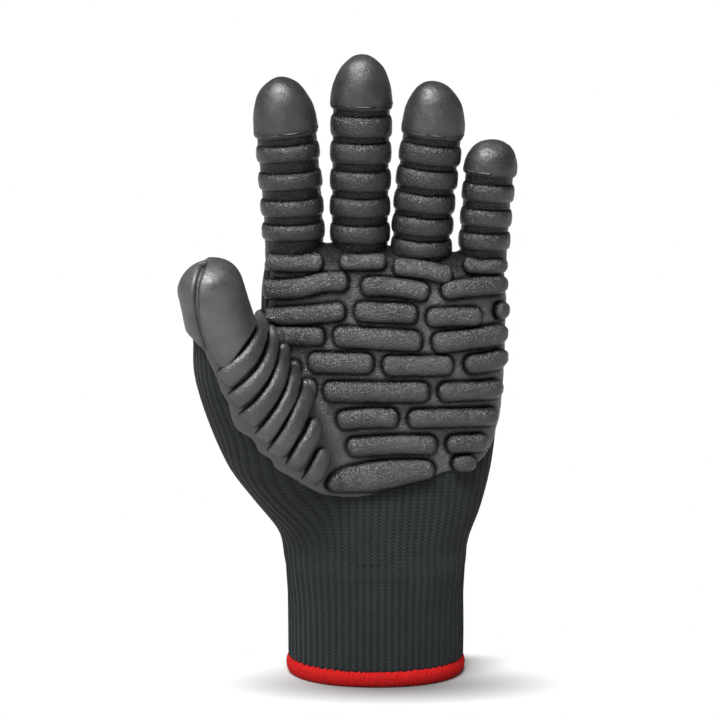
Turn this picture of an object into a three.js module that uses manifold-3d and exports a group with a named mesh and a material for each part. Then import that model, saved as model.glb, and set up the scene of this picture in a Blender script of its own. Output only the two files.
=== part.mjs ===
// A knitted work glove for the left hand with a moulded rubber palm, in the form that a hand gives it.
// Millimetres. Fingers point to +Z, the palm faces -Y, the thumb is on the -X side.
// The origin is the centre of the wrist opening.
import * as THREE from 'three';
import { mergeVertices } from 'three/addons/utils/BufferGeometryUtils.js';
import Module from 'manifold-3d';

const wasm = await Module();
wasm.setup();

// Driving dimensions of the knitted liner
const cuffLength = 45;
const cuffWidth = 71;
const cuffDepth = 47;
const palmLength = 131;
const palmWidth = 97;
const palmDepth = 31;
const fingerLength = 77;
const fingerWidth = 18.3;
const fingerDepth = 17.6;
const fingerLean = 11;
const fingerLineTilt = 3.4;
const thumbForward = 34;
const thumbWidth = 21;
const webDepth = 17;
const knitWall = 1.3;
const hemHeight = 6;
const hemProud = 1.2;

// Driving dimensions of the moulded rubber
const filmWall = 0.9;
const tipWall = 2.3;
const fingerRibHeight = 3.3;
const fingerRibWidth = 7.4;
const palmPadHeight = 3.6;
const palmPadWidth = 8.2;
const thumbRibHeight = 3.2;
const thumbRibWidth = 7.6;
const seat = 0.3;

// How finely round shapes are faceted, and how boxy each oval section is (2 is an ellipse)
const palmSides = 18;
const digitSides = 12;
const cuffSquare = 2.2;
const palmSquare = 2.5;
const digitSquare = 2.15;
const webSquare = 2.6;
const domeAngles = [38, 68];
const domeLength = 1.05;
const reach = 400;
const cutTolerance = 0.02;
const weld = 0.0001;

// Shares that shape the liner. The palm's depth grows depthLead faster than its width, and a finger's
// sideways lean grows with the leanCurve power of its height.
const depthLead = 1.15;
const leanCurve = 1.5;
const fingerFoot = -0.2;
const webEdge = { across: -0.4, forward: 0.1 };

// Where the thumb's liner and film end, as rows of its table and shares of its width
const thumbLine = { row: 5.3, wide: 1.6 };
const thumbFilmBack = { row: 5, back: 0.2, across: -0.488 };

// Where the rubber of fingers and thumb cap ends. across is a share of palmWidth, rise of palmLength and
// back of fingerDepth or palmDepth. lip is how far the finger cap's edge draws in, in shares of 1 mm rows.
const capSlope = 0.12;
const sleeveBack = 0.12;
const filmBack = 0.1;
const capLip = { low: 1, high: 4, drawnIn: -0.5, bulge: 0.9 };
const thumbCapEdge = { across: -0.553, rise: 0.73, side: -0.47, floor: 0.68 };
const thumbCapFacing = new THREE.Vector3(-0.8, 0, 0.6);

// Cross section of a finger rib and of a bar: offset is a share of half the width, height of the full height.
// A bar's foot lies footDepth under the skin, and its ends are endWidth of the full width.
const ribProfile = [
  { offset: -1, height: 0 },
  { offset: -0.5, height: 0.95 },
  { offset: 0.5, height: 0.95 },
  { offset: 1, height: 0 },
];
const barProfile = [
  { offset: 0.85, height: 0.6 },
  { offset: 0, height: 1 },
  { offset: -0.85, height: 0.6 },
];
const barEnd = { width: 0.58, height: 0.7, length: 0.32, longest: 0.3 };
const footDepth = 4;

const fingerLine = cuffLength + palmLength - 2;
const degrees = Math.PI / 180;
const up = new THREE.Vector3(0, 0, 1);

// Palm sections from the wrist up. rise is a share of palmLength, spread goes from the cuff's size at 0 to
// the palm's at 1, centre is a share of palmWidth, flat shrinks the depth and level follows the finger line.
const palmSections = [
  { rise: 0.0, spread: 0.06, centre: 0.0, flat: 1.0, level: 0 },
  { rise: 0.08, spread: 0.19, centre: -0.004, flat: 0.97, level: 0 },
  { rise: 0.18, spread: 0.52, centre: 0.0, flat: 1.0, level: 0 },
  { rise: 0.31, spread: 0.81, centre: 0.004, flat: 1.0, level: 0 },
  { rise: 0.45, spread: 0.93, centre: 0.01, flat: 1.0, level: 0 },
  { rise: 0.61, spread: 1.0, centre: 0.018, flat: 1.0, level: 0 },
  { rise: 0.77, spread: 0.99, centre: 0.024, flat: 0.93, level: 0.3 },
  { rise: 0.89, spread: 0.97, centre: 0.03, flat: 0.8, level: 0.8 },
  { rise: 0.95, spread: 0.93, centre: 0.034, flat: 0.68, level: 1 },
  { rise: 0.975, spread: 0.82, centre: 0.036, flat: 0.4, level: 1 },
];

// Fingers. across and tipAcross are shares of palmWidth, length of fingerLength and width of fingerWidth.
// cap, lowRib and highRib are shares of the finger's own length above the finger line.
const fingers = [
  { name: 'index', across: -0.334, tipAcross: -0.362, length: 0.865, width: 1.055, cap: 0.66, ribs: 4,
    lowRib: 0.1, highRib: 0.57 },
  { name: 'middle', across: -0.067, tipAcross: -0.056, length: 1.0, width: 1.0, cap: 0.735, ribs: 5,
    lowRib: 0.087, highRib: 0.635 },
  { name: 'ring', across: 0.182, tipAcross: 0.23, length: 0.88, width: 1.02, cap: 0.672, ribs: 5,
    lowRib: 0.068, highRib: 0.595 },
  { name: 'little', across: 0.435, tipAcross: 0.455, length: 0.607, width: 0.85, cap: 0.696, ribs: 3,
    lowRib: 0.14, highRib: 0.55 },
];

// Thumb sections from the wrist to the start of its round end. rise is a share of palmLength, across of
// palmWidth, forward of thumbForward and width of thumbWidth.
const thumbSections = [
  { rise: 0.104, across: -0.171, forward: 0.0, width: 1.52 },
  { rise: 0.222, across: -0.266, forward: 0.09, width: 1.81 },
  { rise: 0.376, across: -0.374, forward: 0.26, width: 2.0 },
  { rise: 0.529, across: -0.475, forward: 0.5, width: 1.81 },
  { rise: 0.662, across: -0.556, forward: 0.71, width: 1.45 },
  { rise: 0.77, across: -0.608, forward: 0.85, width: 1.08 },
  { rise: 0.9, across: -0.645, forward: 0.95, width: 1.0 },
  { rise: 0.98, across: -0.664, forward: 1.0, width: 0.0 },
];

// The web of skin between thumb and palm, from its root up. rise is a share of palmLength, thick of webDepth.
const webSections = [
  { rise: 0.42, thick: 1.0 },
  { rise: 0.66, thick: 1.0 },
  { rise: 0.73, thick: 0.8 },
  { rise: 0.765, thick: 0.45 },
];

// The border of the palm coating, seen from the palm. across is a share of palmWidth, rise of palmLength.
const coatingBorder = [
  { across: -0.66, rise: 0.7 },
  { across: -0.627, rise: 0.64 },
  { across: -0.589, rise: 0.571 },
  { across: -0.559, rise: 0.49 },
  { across: -0.493, rise: 0.453 },
  { across: -0.46, rise: 0.405 },
  { across: -0.409, rise: 0.365 },
  { across: -0.301, rise: 0.306 },
  { across: -0.227, rise: 0.266 },
  { across: -0.131, rise: 0.245 },
  { across: 0.03, rise: 0.262 },
  { across: 0.169, rise: 0.285 },
  { across: 0.296, rise: 0.318 },
  { across: 0.39, rise: 0.327 },
  { across: 0.473, rise: 0.389 },
  { across: 0.52, rise: 0.46 },
  { across: 0.7, rise: 0.5 },
  { across: 0.7, rise: 1.2 },
  { across: -0.49, rise: 1.2 },
  { across: -0.49, rise: 0.86 },
  { across: -0.55, rise: 0.86 },
];

// Palm pads in eight rows. left and right are the ends, shares of palmWidth. leftRise, rise and rightRise are
// the heights of left end, middle and right end, shares of palmLength. wide is a share of palmPadWidth.
const palmPads = [
  { name: '1a', left: -0.45, leftRise: 0.877, rise: 0.89, right: -0.108, rightRise: 0.908, wide: 1 },
  { name: '1b', left: -0.066, leftRise: 0.895, rise: 0.89, right: 0.21, rightRise: 0.873, wide: 0.98 },
  { name: '1c', left: 0.255, leftRise: 0.879, rise: 0.885, right: 0.505, rightRise: 0.889, wide: 0.95 },
  { name: '2a', left: -0.447, leftRise: 0.79, rise: 0.803, right: -0.12, rightRise: 0.822, wide: 0.93 },
  { name: '2b', left: -0.094, leftRise: 0.82, rise: 0.817, right: 0.165, rightRise: 0.811, wide: 1.05 },
  { name: '2c', left: 0.195, leftRise: 0.802, rise: 0.803, right: 0.428, rightRise: 0.797, wide: 0.95 },
  { name: '2d', left: 0.462, leftRise: 0.812, rise: 0.812, right: 0.506, rightRise: 0.812, wide: 0.95 },
  { name: '3a', left: -0.42, leftRise: 0.735, rise: 0.741, right: -0.203, rightRise: 0.745, wide: 0.95 },
  { name: '3b', left: -0.178, leftRise: 0.749, rise: 0.739, right: 0.186, rightRise: 0.728, wide: 1.1 },
  { name: '3c', left: 0.217, leftRise: 0.722, rise: 0.732, right: 0.506, rightRise: 0.738, wide: 1.1 },
  { name: '4a', left: -0.277, leftRise: 0.66, rise: 0.661, right: -0.01, rightRise: 0.66, wide: 1.1 },
  { name: '4b', left: 0.018, leftRise: 0.655, rise: 0.655, right: 0.31, rightRise: 0.654, wide: 1.05 },
  { name: '4c', left: 0.351, leftRise: 0.652, rise: 0.655, right: 0.506, rightRise: 0.66, wide: 1 },
  { name: '5a', left: -0.218, leftRise: 0.572, rise: 0.573, right: 0.215, rightRise: 0.572, wide: 1.05 },
  { name: '5b', left: 0.245, leftRise: 0.572, rise: 0.571, right: 0.502, rightRise: 0.567, wide: 0.95 },
  { name: '6a', left: -0.164, leftRise: 0.482, rise: 0.491, right: 0.092, rightRise: 0.494, wide: 1.03 },
  { name: '6b', left: 0.124, leftRise: 0.491, rise: 0.491, right: 0.487, rightRise: 0.484, wide: 0.97 },
  { name: '7a', left: -0.122, leftRise: 0.402, rise: 0.409, right: 0.246, rightRise: 0.411, wide: 1 },
  { name: '7b', left: 0.28, leftRise: 0.41, rise: 0.41, right: 0.452, rightRise: 0.405, wide: 0.95 },
  { name: '8a', left: -0.205, leftRise: 0.3, rise: 0.32, right: 0.235, rightRise: 0.34, wide: 1.35 },
  { name: '8b', left: 0.305, leftRise: 0.349, rise: 0.35, right: 0.402, rightRise: 0.351, wide: 0.85 },
];

// The rib at the root of each finger, in the same measures as the palm pads.
const rootPads = [
  { name: 'index', left: -0.45, leftRise: 0.957, rise: 0.959, right: -0.222, rightRise: 0.961, wide: 0.88 },
  { name: 'middle', left: -0.15, leftRise: 0.962, rise: 0.961, right: 0.032, rightRise: 0.96, wide: 0.8 },
  { name: 'ring', left: 0.071, leftRise: 0.947, rise: 0.941, right: 0.3, rightRise: 0.934, wide: 0.85 },
  { name: 'little', left: 0.352, leftRise: 0.949, rise: 0.944, right: 0.496, rightRise: 0.944, wide: 0.82 },
];

// Thumb ribs from the thumb to the wrist, each from its lower end over its bow to its upper end, in the same
// measures, with wide a share of thumbRibWidth.
const thumbRibs = [
  { name: 'a', low: [-0.575, 0.66], bow: [-0.515, 0.705], high: [-0.468, 0.77], wide: 0.95 },
  { name: 'b', low: [-0.543, 0.58], bow: [-0.46, 0.655], high: [-0.43, 0.75], wide: 1.0 },
  { name: 'c', low: [-0.492, 0.52], bow: [-0.4, 0.6], high: [-0.383, 0.715], wide: 0.95 },
  { name: 'd', low: [-0.444, 0.462], bow: [-0.345, 0.55], high: [-0.332, 0.665], wide: 0.9 },
  { name: 'e', low: [-0.385, 0.415], bow: [-0.302, 0.5], high: [-0.272, 0.612], wide: 0.92 },
  { name: 'f', low: [-0.327, 0.362], bow: [-0.275, 0.42], high: [-0.24, 0.492], wide: 0.85 },
  { name: 'g', low: [-0.267, 0.31], bow: [-0.237, 0.34], high: [-0.218, 0.385], wide: 0.8 },
];

function solidOf(geometry) {
  const bare = new THREE.BufferGeometry();
  bare.setAttribute('position', geometry.getAttribute('position'));
  bare.setIndex(geometry.index);
  const merged = mergeVertices(bare, 1e-4);
  const mesh = { numProp: 3, vertProperties: merged.attributes.position.array,
    triVerts: new Uint32Array(merged.index.array) };
  return new wasm.Manifold(new wasm.Mesh(mesh));
}

// A solid's mesh without the hair-thin faces that cuts leave.
function geometryOf(solid) {
  const mesh = solid.simplify(cutTolerance).getMesh();
  const cut = new THREE.BufferGeometry();
  cut.setAttribute('position', new THREE.BufferAttribute(Float32Array.from(mesh.vertProperties), 3));
  cut.setIndex(new THREE.BufferAttribute(Uint32Array.from(mesh.triVerts), 1));
  const welded = mergeVertices(cut, weld);
  const corners = Array.from(welded.index.array);
  const faces = [];
  for (let i = 0; i < corners.length; i += 3) {
    const [a, b, c] = corners.slice(i, i + 3);
    if (a !== b && b !== c && c !== a) faces.push(a, b, c);
  }
  welded.setIndex(faces);
  const flat = welded.toNonIndexed();
  flat.computeVertexNormals();
  return flat;
}

// A closed skin over a row of rings, each a list of as many points, with a fan over both ends.
function loft(rings) {
  const count = rings[0].length;
  const points = rings.flat();
  const faces = [];
  for (let row = 0; row + 1 < rings.length; row++) {
    for (let i = 0; i < count; i++) {
      const a = row * count + i;
      const b = row * count + ((i + 1) % count);
      const [c, d] = [b + count, a + count];
      if (points[a].distanceTo(points[c]) < points[b].distanceTo(points[d])) faces.push(a, b, c, a, c, d);
      else faces.push(a, b, d, b, c, d);
    }
  }
  const middle = (ring) => ring.reduce((sum, p) => sum.add(p), new THREE.Vector3()).divideScalar(count);
  const first = points.push(middle(rings[0])) - 1;
  const last = points.push(middle(rings[rings.length - 1])) - 1;
  const top = (rings.length - 1) * count;
  for (let i = 0; i < count; i++) {
    const next = (i + 1) % count;
    faces.push(first, next, i, last, top + i, top + next);
  }
  const geometry = new THREE.BufferGeometry().setFromPoints(points);
  geometry.setIndex(faces);
  return geometry;
}

// A rounded oval ring about a centre. side and back are its two axes, square sets how boxy it is.
function oval({ centre, side, back, halfWidth, halfDepth, square, count, raise = () => 0 }) {
  return Array.from({ length: count }, (_, i) => {
    const angle = ((i + 0.5) / count) * 2 * Math.PI;
    const across = Math.sign(Math.cos(angle)) * Math.abs(Math.cos(angle)) ** (2 / square);
    const deep = Math.sign(Math.sin(angle)) * Math.abs(Math.sin(angle)) ** (2 / square);
    const extra = raise(across, deep);
    return centre.clone()
      .addScaledVector(side, across * (halfWidth + extra))
      .addScaledVector(back, deep * (halfDepth + extra));
  });
}

const xAxis = new THREE.Vector3(1, 0, 0);
const yAxis = new THREE.Vector3(0, 1, 0);

function cuffSolid(grow, bottom, top) {
  const ring = (height) => oval({ centre: new THREE.Vector3(0, 0, height), side: xAxis, back: yAxis,
    halfWidth: cuffWidth / 2 + grow, halfDepth: cuffDepth / 2 + grow, square: cuffSquare, count: palmSides });
  return solidOf(loft([ring(bottom), ring(top)]));
}

function palmSolid(grow, below = 0) {
  const rings = palmSections.map(({ rise, spread, centre, flat, level }, row) => {
    const width = cuffWidth + (palmWidth - cuffWidth) * spread;
    const depth = (cuffDepth + (palmDepth - cuffDepth) * Math.min(1, spread * depthLead)) * flat;
    const height = cuffLength + palmLength * rise - (row === 0 ? below : 0);
    const top = row === palmSections.length - 1 ? grow : 0;
    const ring = oval({ centre: new THREE.Vector3(palmWidth * centre, 0, height + top), side: xAxis,
      back: yAxis, halfWidth: width / 2 + grow, halfDepth: depth / 2 + grow, square: palmSquare,
      count: palmSides });
    ring.forEach((p) => { p.z -= p.x * level * Math.tan(fingerLineTilt * degrees); });
    return ring;
  });
  return solidOf(loft(rings));
}

// The middle line of a finger: share 0 lies on the finger line and 1 at the top of the tip.
function fingerPoint(finger, share) {
  const long = finger.length * fingerLength;
  const across = finger.across + (finger.tipAcross - finger.across) * Math.max(0, share) ** leanCurve;
  const line = fingerLine - palmWidth * finger.across * Math.tan(fingerLineTilt * degrees);
  return new THREE.Vector3(palmWidth * across, -long * share * Math.tan(fingerLean * degrees),
    line + long * share);
}

function fingerFrame(finger, share) {
  const along = fingerPoint(finger, share + 0.01).sub(fingerPoint(finger, share - 0.01)).normalize();
  const side = xAxis.clone().addScaledVector(along, -along.dot(xAxis)).normalize();
  return { centre: fingerPoint(finger, share), side, back: along.clone().cross(side), along };
}

// A finger with a round end. raise adds height at one place of one section, as the ribs do.
function fingerSolid(finger, grow, rows = [fingerFoot, 0.4], raise = () => () => 0) {
  const long = finger.length * fingerLength;
  const halfWidth = (fingerWidth * finger.width) / 2;
  const halfDepth = (fingerDepth * finger.width) / 2;
  const dome = (halfWidth * domeLength) / long;
  const ringAt = (share, shrink, lift) => {
    const frame = fingerFrame(finger, share);
    return oval({ ...frame, centre: frame.centre.addScaledVector(frame.along, lift), square: digitSquare,
      halfWidth: (halfWidth + grow) * shrink, halfDepth: (halfDepth + grow) * shrink, count: digitSides,
      raise: raise(share) });
  };
  const rings = rows.map((share) => ringAt(share, 1, 0));
  for (const angle of [0, ...domeAngles]) {
    const shrink = Math.cos(angle * degrees);
    rings.push(ringAt(1 - dome + dome * Math.sin(angle * degrees), shrink, grow * Math.sin(angle * degrees)));
  }
  return solidOf(loft(rings));
}

const thumbPath = new THREE.CatmullRomCurve3(thumbSections.map(({ rise, across, forward }) => (
  new THREE.Vector3(palmWidth * across, -thumbForward * forward, cuffLength + palmLength * rise))));

// The thumb's frame at a section of its table, which may lie between two rows.
function thumbFrame(row) {
  const share = row / (thumbSections.length - 1);
  const along = thumbPath.getTangent(share);
  const side = xAxis.clone().addScaledVector(along, -along.dot(xAxis)).normalize();
  return { centre: thumbPath.getPoint(share), side, back: along.clone().cross(side), along };
}

function thumbSolid(grow) {
  const tip = thumbSections.length - 1;
  const ringAt = (row, halfWidth, lift) => {
    const frame = thumbFrame(row);
    return oval({ ...frame, centre: frame.centre.addScaledVector(frame.along, lift), halfWidth,
      halfDepth: halfWidth, square: digitSquare, count: digitSides });
  };
  const rings = thumbSections.slice(0, tip).map(({ width }, row) => (
    ringAt(row, (thumbWidth * width) / 2 + grow, 0)));
  const full = (thumbWidth * thumbSections[tip - 1].width) / 2;
  for (const angle of domeAngles) {
    const sine = Math.sin(angle * degrees);
    rings.push(ringAt(tip - 1 + sine, (full + grow) * Math.cos(angle * degrees), grow * sine));
  }
  return solidOf(loft(rings));
}

function webSolid(grow) {
  const rings = webSections.map(({ rise, thick }) => {
    const row = thumbSections.findIndex((section) => section.rise > rise);
    const [low, high] = [thumbSections[row - 1], thumbSections[row]];
    const share = (rise - low.rise) / (high.rise - low.rise);
    const height = cuffLength + palmLength * rise + grow * (1 - thick);
    const thumb = new THREE.Vector3(palmWidth * THREE.MathUtils.lerp(low.across, high.across, share),
      -thumbForward * THREE.MathUtils.lerp(low.forward, high.forward, share), height);
    const edge = new THREE.Vector3(palmWidth * webEdge.across, -palmDepth * webEdge.forward, height);
    const side = edge.clone().sub(thumb).normalize();
    return oval({ centre: thumb.clone().lerp(edge, 0.5), side, back: up.clone().cross(side),
      halfWidth: edge.distanceTo(thumb) / 2 + grow, halfDepth: (webDepth * thick) / 2 + grow,
      square: webSquare, count: digitSides });
  });
  return solidOf(loft(rings));
}

// Everything beyond a plane through a point, or a square bar of it about that point.
function beyond(point, direction, wide = reach) {
  const geometry = new THREE.BoxGeometry(wide, wide, reach);
  geometry.translate(0, 0, reach / 2);
  geometry.applyQuaternion(new THREE.Quaternion().setFromUnitVectors(up, direction.clone().normalize()));
  geometry.translate(point.x, point.y, point.z);
  return solidOf(geometry);
}

function aboveFingerLine(lift) {
  const slope = Math.tan(fingerLineTilt * degrees);
  const direction = new THREE.Vector3(slope, 0, 1).normalize();
  return beyond(new THREE.Vector3(0, 0, fingerLine + lift), direction);
}

function aboveThumbLine(lift, wide) {
  const frame = thumbFrame(thumbLine.row);
  return beyond(frame.centre.addScaledVector(frame.along, lift), frame.along, wide);
}

// The whole hand in one: palm, thumb and fingers.
function handSolid(grow, below) {
  let hand = palmSolid(grow, below).add(thumbSolid(grow)).add(webSolid(grow));
  for (const finger of fingers) hand = hand.add(fingerSolid(finger, grow));
  return hand;
}

function coatingPrism(back) {
  const shape = new THREE.Shape(coatingBorder.map(({ across, rise }) => (
    new THREE.Vector2(palmWidth * across, cuffLength + palmLength * rise))));
  const geometry = new THREE.ExtrudeGeometry(shape, { depth: reach / 2, bevelEnabled: false });
  geometry.rotateX(Math.PI / 2);
  geometry.translate(0, back, 0);
  return solidOf(geometry);
}

// Where the front of a solid lies over a point of the XZ plane, and which way it faces there.
function frontOf(solid) {
  const flat = geometryOf(solid);
  const mesh = new THREE.Mesh(flat, new THREE.MeshBasicMaterial({ side: THREE.FrontSide }));
  const ray = new THREE.Raycaster();
  return (x, z) => {
    ray.set(new THREE.Vector3(x, -reach / 2, z), yAxis);
    const hit = ray.intersectObject(mesh)[0];
    return hit ? { point: hit.point, normal: hit.face.normal } : null;
  };
}

// A rounded bar that lies along a line on the front of the glove. Its underside reaches into the glove and is
// trimmed by it afterwards.
function barSolid(line, width, height, steps) {
  const end = Math.min(barEnd.longest, (width * barEnd.length) / line.getLength());
  const between = Array.from({ length: steps - 1 }, (_, i) => end + ((1 - 2 * end) * (i + 1)) / steps);
  const shares = [0, end, ...between, 1 - end, 1];
  const rings = shares.map((share) => {
    const atEnd = share === 0 || share === 1;
    const at = line.getPointAt(share);
    const along = line.getTangentAt(share);
    const across = new THREE.Vector2(-along.y, along.x);
    const middle = front(at.x, at.y);
    const normal = middle.normal.clone();
    const sideways = new THREE.Vector3(across.x, 0, across.y);
    sideways.addScaledVector(normal, -sideways.dot(normal)).normalize();
    const halfWidth = (width / 2) * (atEnd ? barEnd.width : 1);
    const crest = height * (atEnd ? barEnd.height : 1);
    const spot = (offset, raised) => middle.point.clone()
      .addScaledVector(sideways, offset * halfWidth)
      .addScaledVector(normal, raised);
    return [spot(1, -footDepth), ...barProfile.map((at) => spot(at.offset, at.height * crest)),
      spot(-1, -footDepth)];
  });
  return solidOf(loft(rings));
}

const skin = filmWall + seat;
const rubber = { color: 0x4a4a4b, roughness: 0.5, metalness: 0 };
const knit = { color: 0x2e3031, roughness: 0.95, metalness: 0 };
const thread = { color: 0xc81f20, roughness: 0.9, metalness: 0 };

const glove = new THREE.Group();
glove.name = 'glove';

function place(name, solid, look) {
  const mesh = new THREE.Mesh(geometryOf(solid), new THREE.MeshStandardMaterial(look));
  mesh.name = name;
  glove.add(mesh);
}

// Knitted liner
const gap = seat / 2;
const overlap = 3 * knitWall;
const cuffBottom = hemHeight / 2;
const cuffOuter = cuffSolid(0, cuffBottom, cuffLength - gap);
const cuffInner = cuffSolid(-knitWall, cuffBottom - overlap, cuffLength + overlap);
place('cuff', cuffOuter.subtract(cuffInner), knit);

const hemOuter = cuffSolid(hemProud, 0, hemHeight);
const hemInner = cuffSolid(-knitWall - hemProud, -overlap, hemHeight + overlap);
const slot = cuffSolid(seat, cuffBottom - seat, hemHeight + overlap)
  .subtract(cuffSolid(-knitWall - seat, -overlap, hemHeight + 2 * overlap));
place('hem', hemOuter.subtract(hemInner).subtract(slot), thread);

const hand = handSolid(0, -gap);
const hollow = handSolid(-knitWall, overlap);
const palmLiner = hand.subtract(hollow).subtract(aboveFingerLine(-gap))
  .subtract(aboveThumbLine(-gap, thumbWidth * thumbLine.wide));
place('palm_liner', palmLiner, knit);
place('thumb_liner', thumbSolid(0).subtract(thumbSolid(-knitWall)).intersect(aboveThumbLine(gap)), knit);

// Fingers: liner, ribbed sleeve round the front and a thick cap on the tip
for (const finger of fingers) {
  const long = finger.length * fingerLength;
  const outer = fingerSolid(finger, 0);
  const tube = outer.subtract(fingerSolid(finger, -knitWall)).intersect(aboveFingerLine(gap));
  place(`${finger.name}_liner`, tube, knit);

  const spots = Array.from({ length: finger.ribs }, (_, i) => (
    finger.lowRib + ((finger.highRib - finger.lowRib) * i) / (finger.ribs - 1)));
  const half = fingerRibWidth / 2 / long;
  const bumps = spots.flatMap((spot) => (
    ribProfile.map(({ offset, height }) => ({ at: spot + offset * half, height }))));
  const rows = [fingerFoot, ...bumps.map(({ at }) => at), finger.cap + 0.05];
  const heightAt = (share) => {
    const bump = bumps.find(({ at }) => Math.abs(at - share) < 1e-9);
    return bump ? bump.height : 0;
  };
  const ribbed = fingerSolid(finger, skin, rows, (share) => (across, deep) => (
    heightAt(share) * (deep < 0 ? 1 + (fingerRibHeight - 1) * deep * deep : 1)));
  const capFrame = fingerFrame(finger, finger.cap);
  const capPlane = (lift) => beyond(capFrame.centre.clone().addScaledVector(capFrame.along, lift),
    capFrame.along.clone().addScaledVector(capFrame.back, -capSlope));
  const backEdge = capFrame.centre.clone().addScaledVector(capFrame.back, fingerDepth * sleeveBack);
  const behind = beyond(backEdge, capFrame.back);
  const bore = fingerSolid(finger, seat);
  place(`${finger.name}_sleeve`, ribbed.subtract(bore).intersect(aboveFingerLine(gap)).subtract(behind)
    .subtract(capPlane(-seat)), rubber);

  const capRows = [fingerFoot, finger.cap + capLip.low / long, finger.cap + capLip.high / long];
  const capOuter = fingerSolid(finger, seat + tipWall, capRows, (share) => (across, deep) => {
    if (share < finger.cap + (capLip.low + 1) / long) return capLip.drawnIn;
    return deep < 0 ? capLip.bulge * deep * deep : 0;
  });
  place(`${finger.name}_tip`, capOuter.subtract(bore).intersect(capPlane(0)), rubber);
}

// Palm coating: a thin film that stops at the finger line, at the thumb cap and at its border
const outward = xAxis.clone().negate();
const thumbSide = beyond(new THREE.Vector3(palmWidth * thumbCapEdge.side, 0, 0), outward);
const capHeight = cuffLength + palmLength * thumbCapEdge.rise;
const capSpot = new THREE.Vector3(palmWidth * thumbCapEdge.across, 0, capHeight);
const capEdge = (lift) => beyond(capSpot.clone().addScaledVector(thumbCapFacing, lift), thumbCapFacing);
const capCut = capEdge(0).intersect(thumbSide);
const thumbBack = thumbFrame(thumbFilmBack.row);
const filmEdge = thumbBack.centre.clone().addScaledVector(thumbBack.back, thumbWidth * thumbFilmBack.back);
const behindThumb = beyond(filmEdge, thumbBack.back)
  .intersect(beyond(new THREE.Vector3(palmWidth * thumbFilmBack.across, 0, 0), outward));
const coating = handSolid(skin, -gap)
  .subtract(handSolid(seat, overlap))
  .intersect(coatingPrism(palmDepth * filmBack))
  .subtract(aboveFingerLine(-gap))
  .subtract(behindThumb)
  .subtract(capCut);
place('palm_coating', coating, rubber);

const thumbCap = thumbSolid(seat + tipWall).subtract(handSolid(seat, overlap))
  .intersect(capEdge(seat))
  .intersect(beyond(new THREE.Vector3(0, 0, cuffLength + palmLength * thumbCapEdge.floor), up));
place('thumb_tip', thumbCap, rubber);

// Ribs and pads seated on the coating
const base = handSolid(skin + seat, -gap);
const front = frontOf(base);
const spotOn = (across, rise) => new THREE.Vector2(palmWidth * across, cuffLength + palmLength * rise);

// A bar trimmed by the glove under it and by the bars that already lie beside it.
let taken = aboveFingerLine(-gap).add(capCut);
function seated(line, width, height, steps) {
  const bar = barSolid(line, width, height, steps).subtract(base).subtract(taken);
  taken = taken.add(barSolid(line, width + 2 * seat, height + seat, steps));
  return bar;
}

for (const { name, left, leftRise, rise, right, rightRise, wide } of palmPads) {
  const line = new THREE.SplineCurve([spotOn(left, leftRise), spotOn((left + right) / 2, rise),
    spotOn(right, rightRise)]);
  place(`palm_pad_${name}`, seated(line, palmPadWidth * wide, palmPadHeight, 2), rubber);
}
for (const { name, left, leftRise, rise, right, rightRise, wide } of rootPads) {
  const line = new THREE.SplineCurve([spotOn(left, leftRise), spotOn((left + right) / 2, rise),
    spotOn(right, rightRise)]);
  place(`${name}_root_pad`, seated(line, palmPadWidth * wide, palmPadHeight, 2), rubber);
}
for (const { name, low, bow, high, wide } of thumbRibs) {
  const line = new THREE.SplineCurve([spotOn(...low), spotOn(...bow), spotOn(...high)]);
  place(`thumb_rib_${name}`, seated(line, thumbRibWidth * wide, thumbRibHeight, 4), rubber);
}

export default glove;
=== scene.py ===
import math

import bmesh
import bpy
import numpy as np
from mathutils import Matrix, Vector, noise
from mathutils.bvhtree import BVHTree
from mathutils.kdtree import KDTree


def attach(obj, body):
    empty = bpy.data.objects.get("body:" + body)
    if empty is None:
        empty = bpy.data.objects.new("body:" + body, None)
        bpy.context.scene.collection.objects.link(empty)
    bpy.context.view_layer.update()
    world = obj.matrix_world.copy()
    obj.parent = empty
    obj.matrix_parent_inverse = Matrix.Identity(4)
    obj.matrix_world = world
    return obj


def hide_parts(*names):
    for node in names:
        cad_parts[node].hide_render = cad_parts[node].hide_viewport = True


# A knitted work glove for the left hand with a moulded rubber palm, as a hand fills it.
# Shapes are worked out in millimetres and turned to metres as each mesh is made.
# Fingers point to +Z, the palm faces -Y and the thumb is on the -X side.

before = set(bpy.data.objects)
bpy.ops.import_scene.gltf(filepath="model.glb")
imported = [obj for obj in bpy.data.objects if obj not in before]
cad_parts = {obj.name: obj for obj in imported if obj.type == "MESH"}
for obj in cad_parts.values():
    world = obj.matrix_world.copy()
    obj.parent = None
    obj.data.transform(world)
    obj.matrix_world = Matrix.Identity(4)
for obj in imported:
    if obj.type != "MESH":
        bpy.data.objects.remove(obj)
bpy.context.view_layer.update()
mm = 0.001
quarter = math.pi / 2
whole = 2 * math.pi
print("frame loaded")


def linear(hexColour):
    values = [int(hexColour[i:i + 2], 16) / 255 for i in (1, 3, 5)]
    return tuple(v / 12.92 if v <= 0.04045 else ((v + 0.055) / 1.055) ** 2.4 for v in values) + (1.0,)


def feed(node, inputs):
    # sets inputs of a node, or links those that come from another node
    for key, value in inputs.items():
        if isinstance(value, bpy.types.NodeSocket):
            node.id_data.links.new(value, node.inputs[key])
        else:
            node.inputs[key].default_value = value


def addNode(tree, kind, inputs=None, **settings):
    node = tree.nodes.new(kind)
    for key, value in settings.items():
        setattr(node, key, value)
    feed(node, inputs or {})
    return node


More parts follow.
